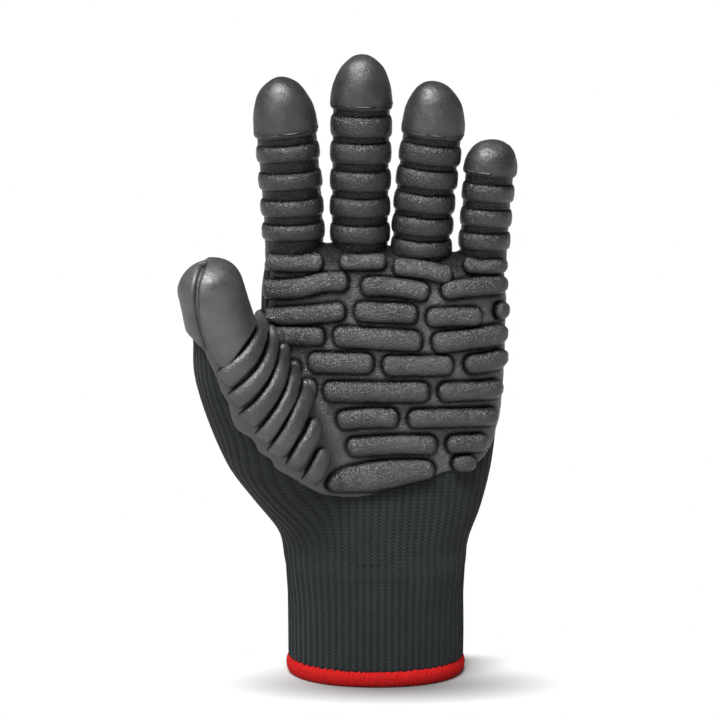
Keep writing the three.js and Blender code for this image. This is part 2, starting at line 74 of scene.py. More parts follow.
def smoothTable(at, xs, ys):
    # a smooth curve through the rows of a table
    xs, ys = np.asarray(xs, float), np.asarray(ys, float)
    at = np.clip(np.asarray(at, float), xs[0], xs[-1])
    slope = np.gradient(ys, xs)
    i = np.clip(np.searchsorted(xs, at) - 1, 0, len(xs) - 2)
    step = xs[i + 1] - xs[i]
    t = (at - xs[i]) / step
    return ((2 * t**3 - 3 * t**2 + 1) * ys[i] + (t**3 - 2 * t**2 + t) * step * slope[i]
            + (3 * t**2 - 2 * t**3) * ys[i + 1] + (t**3 - t**2) * step * slope[i + 1])


def runLength(points):
    # the distance gone along a line at each of its points
    return np.concatenate([[0], np.cumsum(np.linalg.norm(np.diff(points, axis=0), axis=1))])


def columnsAt(at, known, points):
    return np.stack([np.interp(at, known, column) for column in points.T], -1)


def smoothLine(points, count):
    # a smooth line through three or more points, sampled evenly along its length; a straight one through two
    points = np.asarray(points, float)
    if len(points) == 2:
        fine = points[0] + (points[1] - points[0]) * np.linspace(0, 1, 400)[:, None]
    else:
        along = runLength(points)
        at = np.linspace(0, along[-1], 400)
        fine = np.stack([smoothTable(at, along, column) for column in points.T], -1)
    length = runLength(fine)
    return columnsAt(np.linspace(0, length[-1], count), length, fine), length[-1]


def smoothStep(low, high, value):
    t = np.clip((np.asarray(value, float) - low) / (high - low), 0, 1)
    return t * t * (3 - 2 * t)


def lineDistance(x, z, line, closed=False):
    # distance in the XZ plane from points to a line of points
    line = np.asarray(line, float)
    if closed:
        line = np.concatenate([line, line[:1]])
    best = np.full(len(x), 1e9)
    for (ax, az), (bx, bz) in zip(line[:-1], line[1:]):
        dx, dz = bx - ax, bz - az
        t = np.clip(((x - ax) * dx + (z - az) * dz) / max(dx * dx + dz * dz, 1e-9), 0, 1)
        best = np.minimum(best, np.hypot(x - ax - t * dx, z - az - t * dz))
    return best


def unit(vectors):
    return vectors / np.maximum(np.linalg.norm(vectors, axis=-1, keepdims=True), 1e-9)


def wobble(points, size, seed=0.0):
    # soft random values between about -1 and 1, one for each point, with hills of this size
    return np.array([noise.noise(Vector(p) / size + Vector((seed, 2 * seed, 3 * seed))) for p in points])


def squaredTurn(angle, square):
    # sine and cosine for an oval with squared corners
    return tuple(np.sign(v) * np.abs(v) ** (2 / square) for v in (np.sin(angle), np.cos(angle)))


def roundOff(share):
    # how high a quarter circle stands at a share of its radius
    return np.sqrt(np.maximum(0, 1 - share**2))


def blend(first, second, share):
    return first + (second - first) * share


def gridFaces(rows, count, joined=False):
    # faces between closed rings of points; joined adds those from the last ring to the first
    a = np.arange(rows if joined else rows - 1)[:, None] * count + np.arange(count)
    b = a - np.arange(count) + (np.arange(count) + 1) % count
    return np.stack([a, b, (b + count) % (rows * count), (a + count) % (rows * count)], -1).reshape(-1, 4).tolist()


def loft(rings):
    # a closed skin over a row of rings with as many points, with a fan over both ends
    rings = np.asarray(rings, float)
    rows, count = rings.shape[:2]
    faces = [tuple(face) for face in gridFaces(rows, count)]
    first, top = rows * count, (rows - 1) * count
    for i in range(count):
        j = (i + 1) % count
        faces += [(first, j, i), (first + 1, top + i, top + j)]
    return np.concatenate([rings.reshape(-1, 3), rings[[0, -1]].mean(1)]), faces


def meshOf(name, verts, faces):
    mesh = bpy.data.meshes.new(name)
    mesh.from_pydata((np.asarray(verts) * mm).tolist(), [], [tuple(f) for f in faces])
    mesh.update()
    mesh.shade_smooth()
    return mesh


def joinMeshes(name, parts):
    starts = np.cumsum([0] + [len(verts) for verts, _ in parts]).tolist()
    faces = [tuple(i + start for i in face) for (_, part), start in zip(parts, starts) for face in part]
    return meshOf(name, np.concatenate([verts for verts, _ in parts]), faces)


def setUv(mesh, cornerUv):
    layer = mesh.uv_layers.new(name="knitUv")
    layer.data.foreach_set("uv", np.asarray(cornerUv, np.float32).ravel())


def setValue(mesh, name, values):
    layer = mesh.attributes.new(name, "FLOAT", "POINT")
    layer.data.foreach_set("value", np.asarray(values, np.float32))


def newObject(name, data):
    made = bpy.data.objects.new(name, data)
    bpy.context.scene.collection.objects.link(made)
    return made


def addPiece(name, mesh, material, nodes):
    piece = newObject(name, mesh)
    mesh.materials.clear()
    mesh.materials.append(material)
    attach(piece, "root")
    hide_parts(*nodes)


def bakedMesh(holder):
    # the mesh of an object after its modifiers; the object itself goes
    graph = bpy.context.evaluated_depsgraph_get()
    made = bpy.data.meshes.new_from_object(holder.evaluated_get(graph))
    bpy.data.objects.remove(holder)
    return made


def modified(mesh, *changes):
    # the mesh after some modifiers, each a kind with its settings
    holder = newObject("holder", mesh)
    for kind, settings in changes:
        modifier = holder.modifiers.new(kind, kind)
        for key, value in settings.items():
            setattr(modifier, key, value)
    return bakedMesh(holder)


def readField(items, field, width=1, kind=np.int32):
    values = np.empty(len(items) * width, kind)
    items.foreach_get(field, values)
    return values.reshape(-1, width) if width > 1 else values


def pointsOf(mesh):
    return readField(mesh.vertices, "co", 3, np.float32).astype(float) / mm


def normalsOf(mesh):
    return readField(mesh.vertex_normals, "vector", 3, np.float32).astype(float)


# The hand that fills the glove, sizes in mm and degrees
hand = {
    "cuffLength": 45, "cuffWidth": 71, "cuffDepth": 47, "palmLength": 131, "palmWidth": 97, "palmDepth": 31,
    "fingerLength": 77, "fingerWidth": 20.1, "fingerDepth": 17.6, "fingerLean": 11, "fingerLineTilt": 3.4,
    "thumbForward": 34, "thumbWidth": 21, "webDepth": 17, "knitWall": 1.3, "filmWall": 0.9,
    "cuffSquare": 2.2, "palmSquare": 2.5, "depthLead": 1.15, "linerGrid": 1.25, "filmGrid": 0.8, "capTip": 2.5,
}

# rise is a share of palmLength, spread goes from the cuff's size to the palm's, centre a share of palmWidth
palmTable = np.array([
    (0.0, 0.06, 0.0, 1.0, 0), (0.08, 0.19, -0.004, 0.97, 0), (0.18, 0.52, 0.0, 1.0, 0),
    (0.31, 0.81, 0.004, 1.0, 0), (0.45, 0.93, 0.01, 1.0, 0), (0.61, 1.0, 0.018, 1.0, 0),
    (0.77, 0.99, 0.024, 0.93, 0.3), (0.89, 0.97, 0.03, 0.8, 0.8), (0.95, 0.93, 0.034, 0.68, 1),
    (0.975, 0.82, 0.036, 0.4, 1)])

# across and tipAcross in shares of palmWidth, length of fingerLength, width of fingerWidth; cap is the height of its
# edge in mm, round the power of its outline and tipShift how far its tip stands to the right
fingerColumns = ("across", "tipAcross", "length", "width", "cap", "round", "tipShift")
fingers = {name: dict(zip(fingerColumns, row)) for name, row in {
    "index": (-0.334, -0.378, 0.86, 1.055, 219.7, 2.5, -0.6),
    "middle": (-0.067, -0.056, 0.992, 1.0, 230.1, 2.25, 0.0),
    "ring": (0.182, 0.248, 0.875, 1.02, 219.3, 2.4, -1.8),
    "little": (0.437, 0.463, 0.602, 0.835, 204.1, 3.0, 0.8)}.items()}

# rise and across in shares of the palm, forward of thumbForward and width of thumbWidth
thumbTable = np.array([
    (0.104, -0.175, 0.0, 1.52), (0.222, -0.277, 0.09, 1.82), (0.376, -0.393, 0.26, 2.02),
    (0.529, -0.495, 0.5, 1.84), (0.662, -0.577, 0.71, 1.48), (0.77, -0.615, 0.85, 1.09),
    (0.895, -0.656, 0.95, 0.99), (0.963, -0.684, 1.0, 0.0)])
# rise as above and thickness of the web between thumb and palm, in shares of webDepth
webTable = np.array([(0.42, 1.0), (0.66, 1.0), (0.73, 0.8), (0.765, 0.45)])

xAxis = np.array([1.0, 0, 0])
yAxis = np.array([0, 1.0, 0])
zAxis = np.array([0, 0, 1.0])
tilt = math.tan(math.radians(hand["fingerLineTilt"]))
lean = math.tan(math.radians(hand["fingerLean"]))
fingerLine = hand["cuffLength"] + hand["palmLength"] - 2


def oval(centre, side, back, halfWidth, halfDepth, square, count):
    deep, across = squaredTurn((np.arange(count) + 0.5) / count * whole, square)
    return centre + side * (across * halfWidth)[:, None] + back * (deep * halfDepth)[:, None]


def palmSection(height):
    # half width, half depth, centre and level of the palm at a height
    rise = (np.asarray(height, float) - hand["cuffLength"]) / hand["palmLength"]
    spread, centre, flat, level = (smoothTable(rise, palmTable[:, 0], palmTable[:, k]) for k in range(1, 5))
    width = blend(hand["cuffWidth"], hand["palmWidth"], spread)
    depth = blend(hand["cuffDepth"], hand["palmDepth"], np.minimum(1, spread * hand["depthLead"]))
    return width / 2, depth * flat / 2, hand["palmWidth"] * centre, level


def fingerLong(finger):
    # how long the knitted finger is, without the cap over its tip
    return finger["length"] * hand["fingerLength"] - hand["capTip"]


def fingerHalves(finger):
    return hand["fingerWidth"] * finger["width"] / 2, hand["fingerDepth"] * finger["width"] / 2


def fingerAxis(finger, share):
    share = np.asarray(share, float)
    long = fingerLong(finger)
    across = finger["across"] + (finger["tipAcross"] - finger["across"]) * np.maximum(0, share) ** 1.5
    foot = fingerLine - hand["palmWidth"] * finger["across"] * tilt
    return np.stack([hand["palmWidth"] * across, -long * share * lean, foot + long * share], -1)


def framesAlong(axis, at):
    # middle point and the directions along, sideways and back at places on an axis
    centre = axis(at)
    along = unit(axis(np.asarray(at) + 0.01) - axis(np.asarray(at) - 0.01))
    side = unit(xAxis - along * along[..., :1])
    return centre, along, side, np.cross(along, side)


def fingerFrames(finger, share):
    return framesAlong(lambda at: fingerAxis(finger, at), share)


def fingerSkin(finger, share, angle, grow):
    # a point on a finger: angle 0 is its front and positive angles go to +X; share 1 is the very tip
    halfWidth, halfDepth = fingerHalves(finger)
    dome = halfWidth * 1.05 / fingerLong(finger)
    share, angle = np.broadcast_arrays(np.asarray(share, float), np.asarray(angle, float))
    over = np.clip((share - (1 - dome)) / dome, 0, 1)
    shrink = roundOff(over)
    centre, along, side, back = fingerFrames(finger, share)
    return (centre + along * (grow * over)[..., None]
            + side * (np.sin(angle) * (halfWidth + grow) * shrink)[..., None]
            - back * (np.cos(angle) * (halfDepth + grow) * shrink)[..., None])


def thumbAxis(row):
    rows = np.arange(len(thumbTable))
    place = [smoothTable(row, rows, thumbTable[:, k]) for k in range(3)]
    return np.stack([hand["palmWidth"] * place[1], -hand["thumbForward"] * place[2],
                     hand["cuffLength"] + hand["palmLength"] * place[0]], -1)


def thumbRadius(row):
    rows = np.arange(len(thumbTable) - 1)
    return hand["thumbWidth"] / 2 * smoothTable(np.minimum(row, rows[-1]), rows, thumbTable[:-1, 3])


def thumbSkin(row, angle, grow):
    # a point on the thumb, by its place in the table and the angle from its front
    row, angle = np.broadcast_arrays(np.asarray(row, float), np.asarray(angle, float))
    last = len(thumbTable) - 1
    over = np.clip(row - (last - 1), 0, 1)
    _, along, side, back = framesAlong(thumbAxis, np.minimum(row, last - 0.02))
    reach = ((thumbRadius(row) + grow) * roundOff(over))[..., None]
    return (thumbAxis(row) + along * (grow * over)[..., None] + side * np.sin(angle)[..., None] * reach
            - back * np.cos(angle)[..., None] * reach)


def handVolumes():
    # the palm, thumb, web and fingers as closed skins that overlap
    rings = []
    for height in np.linspace(25, hand["cuffLength"] + 0.975 * hand["palmLength"], 90):
        halfWidth, halfDepth, centre, level = palmSection(height)
        ring = oval(np.array([centre, 0, height]), xAxis, yAxis, halfWidth, halfDepth, hand["palmSquare"], 96)
        ring[:, 2] -= ring[:, 0] * level * tilt
        rings.append(ring)
    turn = np.linspace(0, whole, 56, endpoint=False)
    rows = np.concatenate([np.linspace(0, 6, 60), 6 + np.sin(np.linspace(0, 1.5, 14)[1:])])
    parts = [loft(rings), loft([thumbSkin(row, turn, 0) for row in rows])]
    for finger in fingers.values():
        shares = np.concatenate([np.linspace(-0.2, 0.82, 40), np.linspace(0.83, 0.998, 18)])
        parts.append(loft([fingerSkin(finger, share, turn, 0) for share in shares]))
    rings = []
    for rise in np.linspace(webTable[0, 0], webTable[-1, 0], 24):
        height = hand["cuffLength"] + hand["palmLength"] * rise
        thumb = thumbAxis(np.interp(rise, thumbTable[:, 0], np.arange(len(thumbTable))))
        thumb[2] = height
        edge = np.array([-hand["palmWidth"] * 0.4, -hand["palmDepth"] * 0.1, height])
        side = unit(edge - thumb)
        thick = float(smoothTable(rise, webTable[:, 0], webTable[:, 1]))
        rings.append(oval((thumb + edge) / 2, side, np.cross(zAxis, side), np.linalg.norm(edge - thumb) / 2,
                          hand["webDepth"] * thick / 2, 2.6, 48))
    return joinMeshes("handVolumes", parts + [loft(rings)])


volumes = handVolumes()


def handSkin(grid, rounds):
    return modified(volumes.copy(),
                    ("REMESH", {"mode": "VOXEL", "voxel_size": grid * mm, "use_smooth_shade": True}),
                    ("SMOOTH", {"factor": 0.5, "iterations": rounds}))


def relaxed(mesh, rounds, weightOf):
    # evens a skin where a weight says so
    points = pointsOf(mesh)
    edges = readField(mesh.edges, "vertices", 2)
    weight = weightOf(points)
    a, b = edges[(weight[edges] > 0).any(1)].T
    count = np.maximum(np.bincount(a, minlength=len(points)) + np.bincount(b, minlength=len(points)), 1)
    for _ in range(rounds):
        for axis in range(3):
            values = points[:, axis]
            near = (np.bincount(a, values[b], len(points)) + np.bincount(b, values[a], len(points))) / count
            points[:, axis] = np.where(weight > 0, values + 0.6 * weight * (near - values), values)
    mesh.vertices.foreach_set("co", (points * mm).astype(np.float32).ravel())
    mesh.update()
    return mesh


# The rounds of evening on the film's skin and on the liner's, and the line of the fold under the thumb's mound
evening = {
    "crease": 90, "knuckles": 130, "linerKnuckles": 55, "linerWrist": 90, "creaseNear": 3.0, "creaseFar": 9.0,
    "creaseLine": [(-11, 74), (-17, 88), (-22, 104), (-28, 118), (-35, 132), (-44, 150)],
}


def creaseWeight(points):
    # the fold between the thumb's mound and the palm, which a real skin bridges softly
    away = lineDistance(points[:, 0], points[:, 2], evening["creaseLine"])
    return (1 - smoothStep(evening["creaseNear"], evening["creaseFar"], away)) * (points[:, 1] < -4)


def knuckleWeight(points):
    # the back and sides of the finger roots, where the knit runs on from the hand without a step
    x, y, z = points.T
    away = np.abs(z - (fingerLine - x * tilt - 2))
    return (1 - smoothStep(4, 17, away)) * smoothStep(-7, -1, y)


def wristWeight(points):
    # the thumb's mound runs out into the cuff without a step
    x, _, z = points.T
    return smoothStep(52, 58, z) * (1 - smoothStep(74, 90, z)) * (1 - smoothStep(-20, 0, x))


skinMesh = relaxed(handSkin(hand["filmGrid"], 22), evening["crease"], creaseWeight)
skinMesh = relaxed(skinMesh, evening["knuckles"], knuckleWeight)
skinMesh.calc_loop_triangles()
skinPoints, skinNormals = pointsOf(skinMesh), normalsOf(skinMesh)
skinTriangles = readField(skinMesh.loop_triangles, "vertices", 3)
filmTree = BVHTree.FromPolygons((skinPoints + skinNormals * hand["filmWall"]).tolist(), skinTriangles.tolist())
print("hand skin", len(skinPoints), "points")

# Where a point of the knit lies in stitches: wale counts round the part, course counts along it.
# The wales are drawn wider than the finest real ones, so that they show at this size.
knit = {"wales": 68, "courseHeight": 1.45, "fingerWales": 20, "thumbWales": 36, "thumbStart": 0.115}


def palmTurns(angle, z):
    # the share of a whole turn at an angle round the palm, by the length along its section
    heights = np.arange(45.0, 176.0, 5.0)
    regular = np.linspace(-math.pi, math.pi, 361)
    turn = np.linspace(-math.pi, math.pi, 721)
    table = []
    for height in heights:
        halfWidth, halfDepth = palmSection(height)[:2]
        across, deep = squaredTurn(turn, hand["cuffSquare"] if height < 50 else hand["palmSquare"])
        steps = np.hypot(np.diff(across * halfWidth), np.diff(deep * max(float(halfDepth), 8)))
        gone = np.concatenate([[0], np.cumsum(steps)])
        table.append(np.interp(regular, np.unwrap(np.arctan2(across, deep)), gone / gone[-1] - 0.5))
    table = np.array(table)
    row = np.clip((z - heights[0]) / 5.0, 0, len(heights) - 1.001)
    column = np.clip((angle + math.pi) / whole * 360, 0, 359.999)
    i, j = row.astype(int), column.astype(int)
    u, v = row - i, column - j
    return (table[i, j] * (1 - u) * (1 - v) + table[i + 1, j] * u * (1 - v)
            + table[i, j + 1] * (1 - u) * v + table[i + 1, j + 1] * u * v)


def knitPlace(points):
    x, y, z = points.T
    halfWidth, halfDepth, centre = palmSection(np.clip(z, 45, 170))[:3]
    across, deep = (x - centre) / halfWidth, y / np.maximum(halfDepth, 8)
    courses = z / knit["courseHeight"]
    palm = np.stack([palmTurns(np.arctan2(across, -deep), z) * knit["wales"] + 0.5, courses], -1)
    palmOff = (np.hypot(across, deep) - 1) * halfDepth

    rows = np.linspace(0.3, 7, 160)
    path = thumbAxis(rows)
    near = rows[::4][np.linalg.norm(points[:, None, :] - path[None, ::4, :], axis=2).argmin(1)]
    centres, along, side, back = framesAlong(thumbAxis, np.minimum(near, 6.9))
    off = points - centres
    across, deep = (off * side).sum(1), (off * back).sum(1)
    turn = np.arctan2(across, -deep)
    turn = np.where(turn > math.pi * 0.6, turn - whole, turn)
    onPath = np.interp(near, rows, runLength(path)) + (off * along).sum(1)
    thumb = np.stack([turn / whole * knit["thumbWales"] - knit["thumbStart"] * knit["wales"],
                      (onPath + 50) / knit["courseHeight"]], -1)
    thumbOff = np.hypot(across, deep) - thumbRadius(near)
    share = smoothStep(-5, 5, palmOff - thumbOff) * smoothStep(70, 108, z) * (x <= -18)
    place = palm * (1 - share[:, None]) + thumb * share[:, None]

    for finger in fingers.values():
        share = (z - fingerAxis(finger, 0)[2]) / fingerLong(finger)
        centres, _, side, back = fingerFrames(finger, np.clip(share, -0.2, 1))
        across, deep = ((points - centres) * side).sum(1), ((points - centres) * back).sum(1)
        inside = (share > 0.0) & (np.abs(across) < hand["fingerWidth"] * finger["width"] * 0.56)
        spot = np.stack([np.arctan2(across, -deep) / whole * knit["fingerWales"] + 0.5, courses], -1)
        place = np.where(inside[:, None], spot, place)
    return place


def knitCorners(mesh, places, turns):
    # corner UVs in stitches, with the wrap of a whole turn taken out of each face
    uv = places[readField(mesh.loops, "vertex_index")]
    owner = np.repeat(np.arange(len(mesh.polygons)), readField(mesh.polygons, "loop_total"))
    low = np.full(len(mesh.polygons), 1e9)
    np.minimum.at(low, owner, uv[:, 0])
    wide = uv[:, 0] - low[owner]
    for turn in turns:
        uv[np.abs(wide - turn) < 4, 0] -= turn
    return uv / 10


def newMaterial(name):
    material = bpy.data.materials.new(name)
    material.use_nodes = True
    tree = material.node_tree
    tree.nodes.clear()
    shader = addNode(tree, "ShaderNodeBsdfPrincipled")
    output = addNode(tree, "ShaderNodeOutputMaterial", {"Surface": shader.outputs["BSDF"]})
    return material, tree, shader, output


def objectPlace(tree):
    return addNode(tree, "ShaderNodeTexCoord").outputs["Object"]


def noiseOf(tree, size, detail, **more):
    # noise with hills of this size in mm
    return addNode(tree, "ShaderNodeTexNoise", {"Vector": objectPlace(tree), "Scale": 1 / (size * mm),
                                                "Detail": detail, **more}).outputs["Fac"]


def maths(tree, operation, *values):
    return addNode(tree, "ShaderNodeMath", dict(enumerate(values)), operation=operation).outputs[0]


def ranged(tree, value, low=0.0, high=1.0, start=0.0, end=1.0, **settings):
    # a value taken from low..high to start..end
    return addNode(tree, "ShaderNodeMapRange", dict(enumerate((value, low, high, start, end))), **settings).outputs[0]


def mixTone(tree, factor, *tones):
    # between two colours, each a hex code or an output of a node
    first, second = (linear(tone) if isinstance(tone, str) else tone for tone in tones)
    return addNode(tree, "ShaderNodeMix", {"Factor": factor, 6: first, 7: second}, data_type="RGBA").outputs[2]


def bumpOf(tree, height, strength, distance):
    return addNode(tree, "ShaderNodeBump", {"Height": height, "Strength": strength,
                                            "Distance": distance * mm}).outputs[0]


def mouldedRubber(name, shade, light, roughness, crinkleDepth, crinkleSize, gloss):
    # Moulded foam rubber with a satin skin: soft grey shine, fine crinkles that sparkle, painted black shade in its
    # grooves and a painted highlight on a peeled edge
    material, tree, shader, _ = newMaterial(name)
    calm, grooveAndShade, peelHighlight = (addNode(tree, "ShaderNodeAttribute", attribute_name=kind).outputs["Fac"]
                          for kind in ("calm", "grooveAndShade", "peelHighlight"))
    lump = noiseOf(tree, crinkleSize, 6.0, Roughness=0.62, Distortion=0.7)
    cell = addNode(tree, "ShaderNodeTexVoronoi", {"Vector": objectPlace(tree), "Scale": 1 / (crinkleSize * 0.8 * mm)},
                   feature="DISTANCE_TO_EDGE").outputs["Distance"]
    height = maths(tree, "MULTIPLY_ADD", ranged(tree, cell, 0, 0.22), 0.35, lump)
    height = maths(tree, "MULTIPLY", height, ranged(tree, calm, 0, 1, 1.0, 0.25))
    tone = mixTone(tree, ranged(tree, noiseOf(tree, 14, 3.0), 0.36, 0.64), shade, light)
    # painted shade: black with less shine in grooves, creases, seams and under the caps' lips; painted highlight: pale
    # on the peeled film edge
    for factor, colour in ((calm, "#38383a"), (grooveAndShade, "#080808"), (peelHighlight, "#a8a8aa")):
        tone = mixTone(tree, factor, tone, colour)
    feed(shader, {"Base Color": tone, "Normal": bumpOf(tree, height, 1.0, crinkleDepth), "IOR": 1.5,
                  "Roughness": ranged(tree, lump, 0.3, 0.7, roughness - 0.08, roughness + 0.14),
                  "Specular IOR Level": ranged(tree, grooveAndShade, 0, 1, gloss, 0.14)})
    return material


def knittedYarn(name, shade, light, dots):
    # Plain-knit polyester and cotton yarn: matt charcoal wales with a dotted hole at each course, painted black as the
    # shade inside it
    material, tree, shader, _ = newMaterial(name)
    uv = addNode(tree, "ShaderNodeUVMap", uv_map="knitUv").outputs["UV"]
    split = addNode(tree, "ShaderNodeSeparateXYZ", {"Vector": uv}).outputs

    def wave(kind, value):
        return maths(tree, kind, maths(tree, "MULTIPLY", value, whole))

    wale, course = (maths(tree, "MULTIPLY", split[axis], 10.0) for axis in ("X", "Y"))
    inWale = maths(tree, "SUBTRACT", maths(tree, "FRACT", wale), 0.5)
    away = maths(tree, "ABSOLUTE", inWale)  # 0 on the ridge of a wale, 0.5 in the valley
    stitch = wave("COSINE", maths(tree, "MULTIPLY_ADD", away, -0.7, course))  # each stitch is a V
    valley = maths(tree, "POWER", maths(tree, "MULTIPLY", away, 2.0), 3.4)
    holeAndShade = maths(tree, "MULTIPLY", maths(tree, "MULTIPLY", valley, dots),
                 maths(tree, "GREATER_THAN", wave("SINE", course), -0.1))
    height = maths(tree, "ADD", maths(tree, "MULTIPLY", wave("COSINE", away), 0.4),
                   maths(tree, "MULTIPLY", stitch, 0.16))
    for value, depth in ((holeAndShade, -0.6), (noiseOf(tree, 0.5, 3.0), 0.35)):
        height = maths(tree, "ADD", height, maths(tree, "MULTIPLY", value, depth))
    # painted shade: black in each hole
    tone = mixTone(tree, holeAndShade, mixTone(tree, noiseOf(tree, 9, 2.0), shade, light), "#050505")
    feed(shader, {"Base Color": tone, "Normal": bumpOf(tree, height, 1.0, 0.45), "Roughness": 0.92,
                  "Specular IOR Level": 0.12, "Sheen Weight": 0.04, "Sheen Roughness": 0.6})
    return material


def overlockThread(name):
    # Red polyester overlock thread: fluffy and matt, darker between the turns
    material, tree, shader, _ = newMaterial(name)
    ply = noiseOf(tree, 0.45, 4.0)
    feed(shader, {"Base Color": mixTone(tree, ply, "#840b0c", "#c01716"), "Normal": bumpOf(tree, ply, 0.8, 0.25),
                  "Roughness": 0.85, "Specular IOR Level": 0.15})
    return material


padRubber = mouldedRubber("mouldedRubberPads", "#151516", "#262628", 0.28, 0.42, 1.2, 0.75)
ribRubber = mouldedRubber("mouldedRubberRibs", "#111112", "#1e1e1f", 0.28, 0.36, 1.2, 0.7)
filmRubber = mouldedRubber("mouldedRubberFilm", "#2a2a2b", "#414143", 0.34, 0.48, 1.4, 0.62)
thumbRubber = mouldedRubber("mouldedRubberThumb", "#242426", "#39393b", 0.38, 0.2, 1.6, 0.78)
thumbCapRubber = mouldedRubber("mouldedRubberThumbCap", "#202022", "#3a3a3d", 0.47, 0.07, 2.2, 1.0)
capRubber = mouldedRubber("mouldedRubberCaps", "#161617", "#28282a", 0.45, 0.08, 1.6, 0.65)
linerYarn = knittedYarn("knittedYarnLiner", "#1b1e1e", "#262929", 1.0)
cuffYarn = knittedYarn("knittedYarnCuff", "#1b1e1f", "#25292a", 0.4)
redThread = overlockThread("overlockThread")
print("materials made")


def cutBelow(mesh, height):
    # the mesh above a height, open at the cut
    work = bmesh.new()
    work.from_mesh(mesh)
    bmesh.ops.bisect_plane(work, geom=work.verts[:] + work.edges[:] + work.faces[:],
                           plane_co=(0, 0, height * mm), plane_no=(0, 0, -1), clear_outer=True)
    work.to_mesh(mesh)
    work.free()
    return mesh


# The knitted liner is one piece from the wrist to the fingertips
linerMesh = relaxed(handSkin(hand["linerGrid"], 14), evening["linerKnuckles"], knuckleWeight)
linerMesh = cutBelow(relaxed(linerMesh, evening["linerWrist"], wristWeight), hand["cuffLength"] + 5)
linerMesh = modified(linerMesh, ("SOLIDIFY", {"thickness": hand["knitWall"] * mm, "offset": -1.0}))
linerMesh.shade_smooth()
setUv(linerMesh, knitCorners(linerMesh, knitPlace(pointsOf(linerMesh)),
                             (knit["wales"], knit["thumbWales"], knit["fingerWales"])))
addPiece("knitLiner", linerMesh, linerYarn, ["palm_liner", "thumb_liner"] + [name + "_liner" for name in fingers])
print("liner", len(linerMesh.polygons), "faces")

cuff = {"ribs": 68, "perRib": 8, "rows": 110, "ribHeight": 0.2, "bottom": 3.0, "top": 60.0, "fadeFrom": 40}


def cuffRing(height, grow, count):
    # even steps round the cuff's oval, starting at its back
    join = smoothStep(30, 50, height)
    across, deep = squaredTurn(np.linspace(0, whole, 1600, endpoint=False),
                               hand["cuffSquare"] * (1 - join) + hand["palmSquare"] * join)
    halfWidth, halfDepth, centre = palmSection(max(float(height), 45.0))[:3]
    halfWidth = (hand["cuffWidth"] / 2) * (1 - join) + halfWidth * join
    halfDepth = (hand["cuffDepth"] / 2) * (1 - join) + halfDepth * join
    ring = np.stack([centre + across * (halfWidth + grow), deep * (halfDepth + grow),
                     np.full(1600, float(height))], -1)
    ring = np.concatenate([ring, ring[:1]])
    length = runLength(ring)
    return columnsAt(np.arange(count) / count * length[-1], length, ring)


def outwardOf(ring):
    return unit(ring * np.array([1, (hand["cuffWidth"] / hand["cuffDepth"]) ** 2, 0]))


def makeCuff():
    count = cuff["ribs"] * cuff["perRib"]
    ribs = np.arange(count) / cuff["perRib"]
    rings = []
    for height in np.linspace(cuff["bottom"], cuff["top"], cuff["rows"]):
        ring = cuffRing(height, 0, count)
        fade = 1 - smoothStep(cuff["fadeFrom"], cuff["top"], height)
        lift = cuff["ribHeight"] * (0.2 + 0.8 * fade) * np.cos(ribs * 2 * math.pi)
        lift = lift + 0.25 - 0.6 * smoothStep(46, 60, height)  # it slips under the liner at the top
        lift = lift - 0.8 * (1 - smoothStep(5.2, 7.2, height))  # and under the hem at the bottom
        lift = lift + 0.3 * np.sin(ring[:, 0] * 0.14 + 2) * np.sin(height * 0.11)
        rings.append(ring + outwardOf(ring) * lift[:, None])
    for height in np.linspace(cuff["top"], cuff["bottom"], 8):
        rings.append(cuffRing(height, -hand["knitWall"] - 0.6, count))
    verts = np.concatenate(rings)
    mesh = meshOf("knitCuff", verts, [tuple(reversed(face)) for face in gridFaces(len(rings), count, True)])
    places = np.stack([np.tile(ribs + 0.5, len(rings)), verts[:, 2] / knit["courseHeight"]], -1)
    setUv(mesh, knitCorners(mesh, places, (cuff["ribs"],)))
    return mesh


addPiece("knitCuff", makeCuff(), cuffYarn, ["cuff"])
print("cuff made")

# The hem is a red rounded band with overlock stitches over it
hem = {"height": 6.2, "proud": 1.0, "thick": 3.6, "stitches": 178, "thread": 0.52, "seed": 7}


def hemLine(count, inward, height):
    # the middle of the hem and its directions outwards
    ring = cuffRing(3, 0, count)
    outward = outwardOf(ring)
    return ring * [1, 1, 0] + outward * (hem["proud"] - hem["thick"] / 2 - inward) + [0, 0, height], outward


def makeHemBand():
    count, around = 300, 18
    centres, outward = hemLine(count, 0, 3.1)
    tall, wide = squaredTurn(np.linspace(0, whole, around, endpoint=False), 2.5)
    verts = (centres[:, None] + outward[:, None] * (wide * hem["thick"] / 2)[:, None]
             + zAxis * (tall * (hem["height"] / 2 - 0.2))[:, None])
    return meshOf("hemBand", verts.reshape(-1, 3), gridFaces(count, around, True))


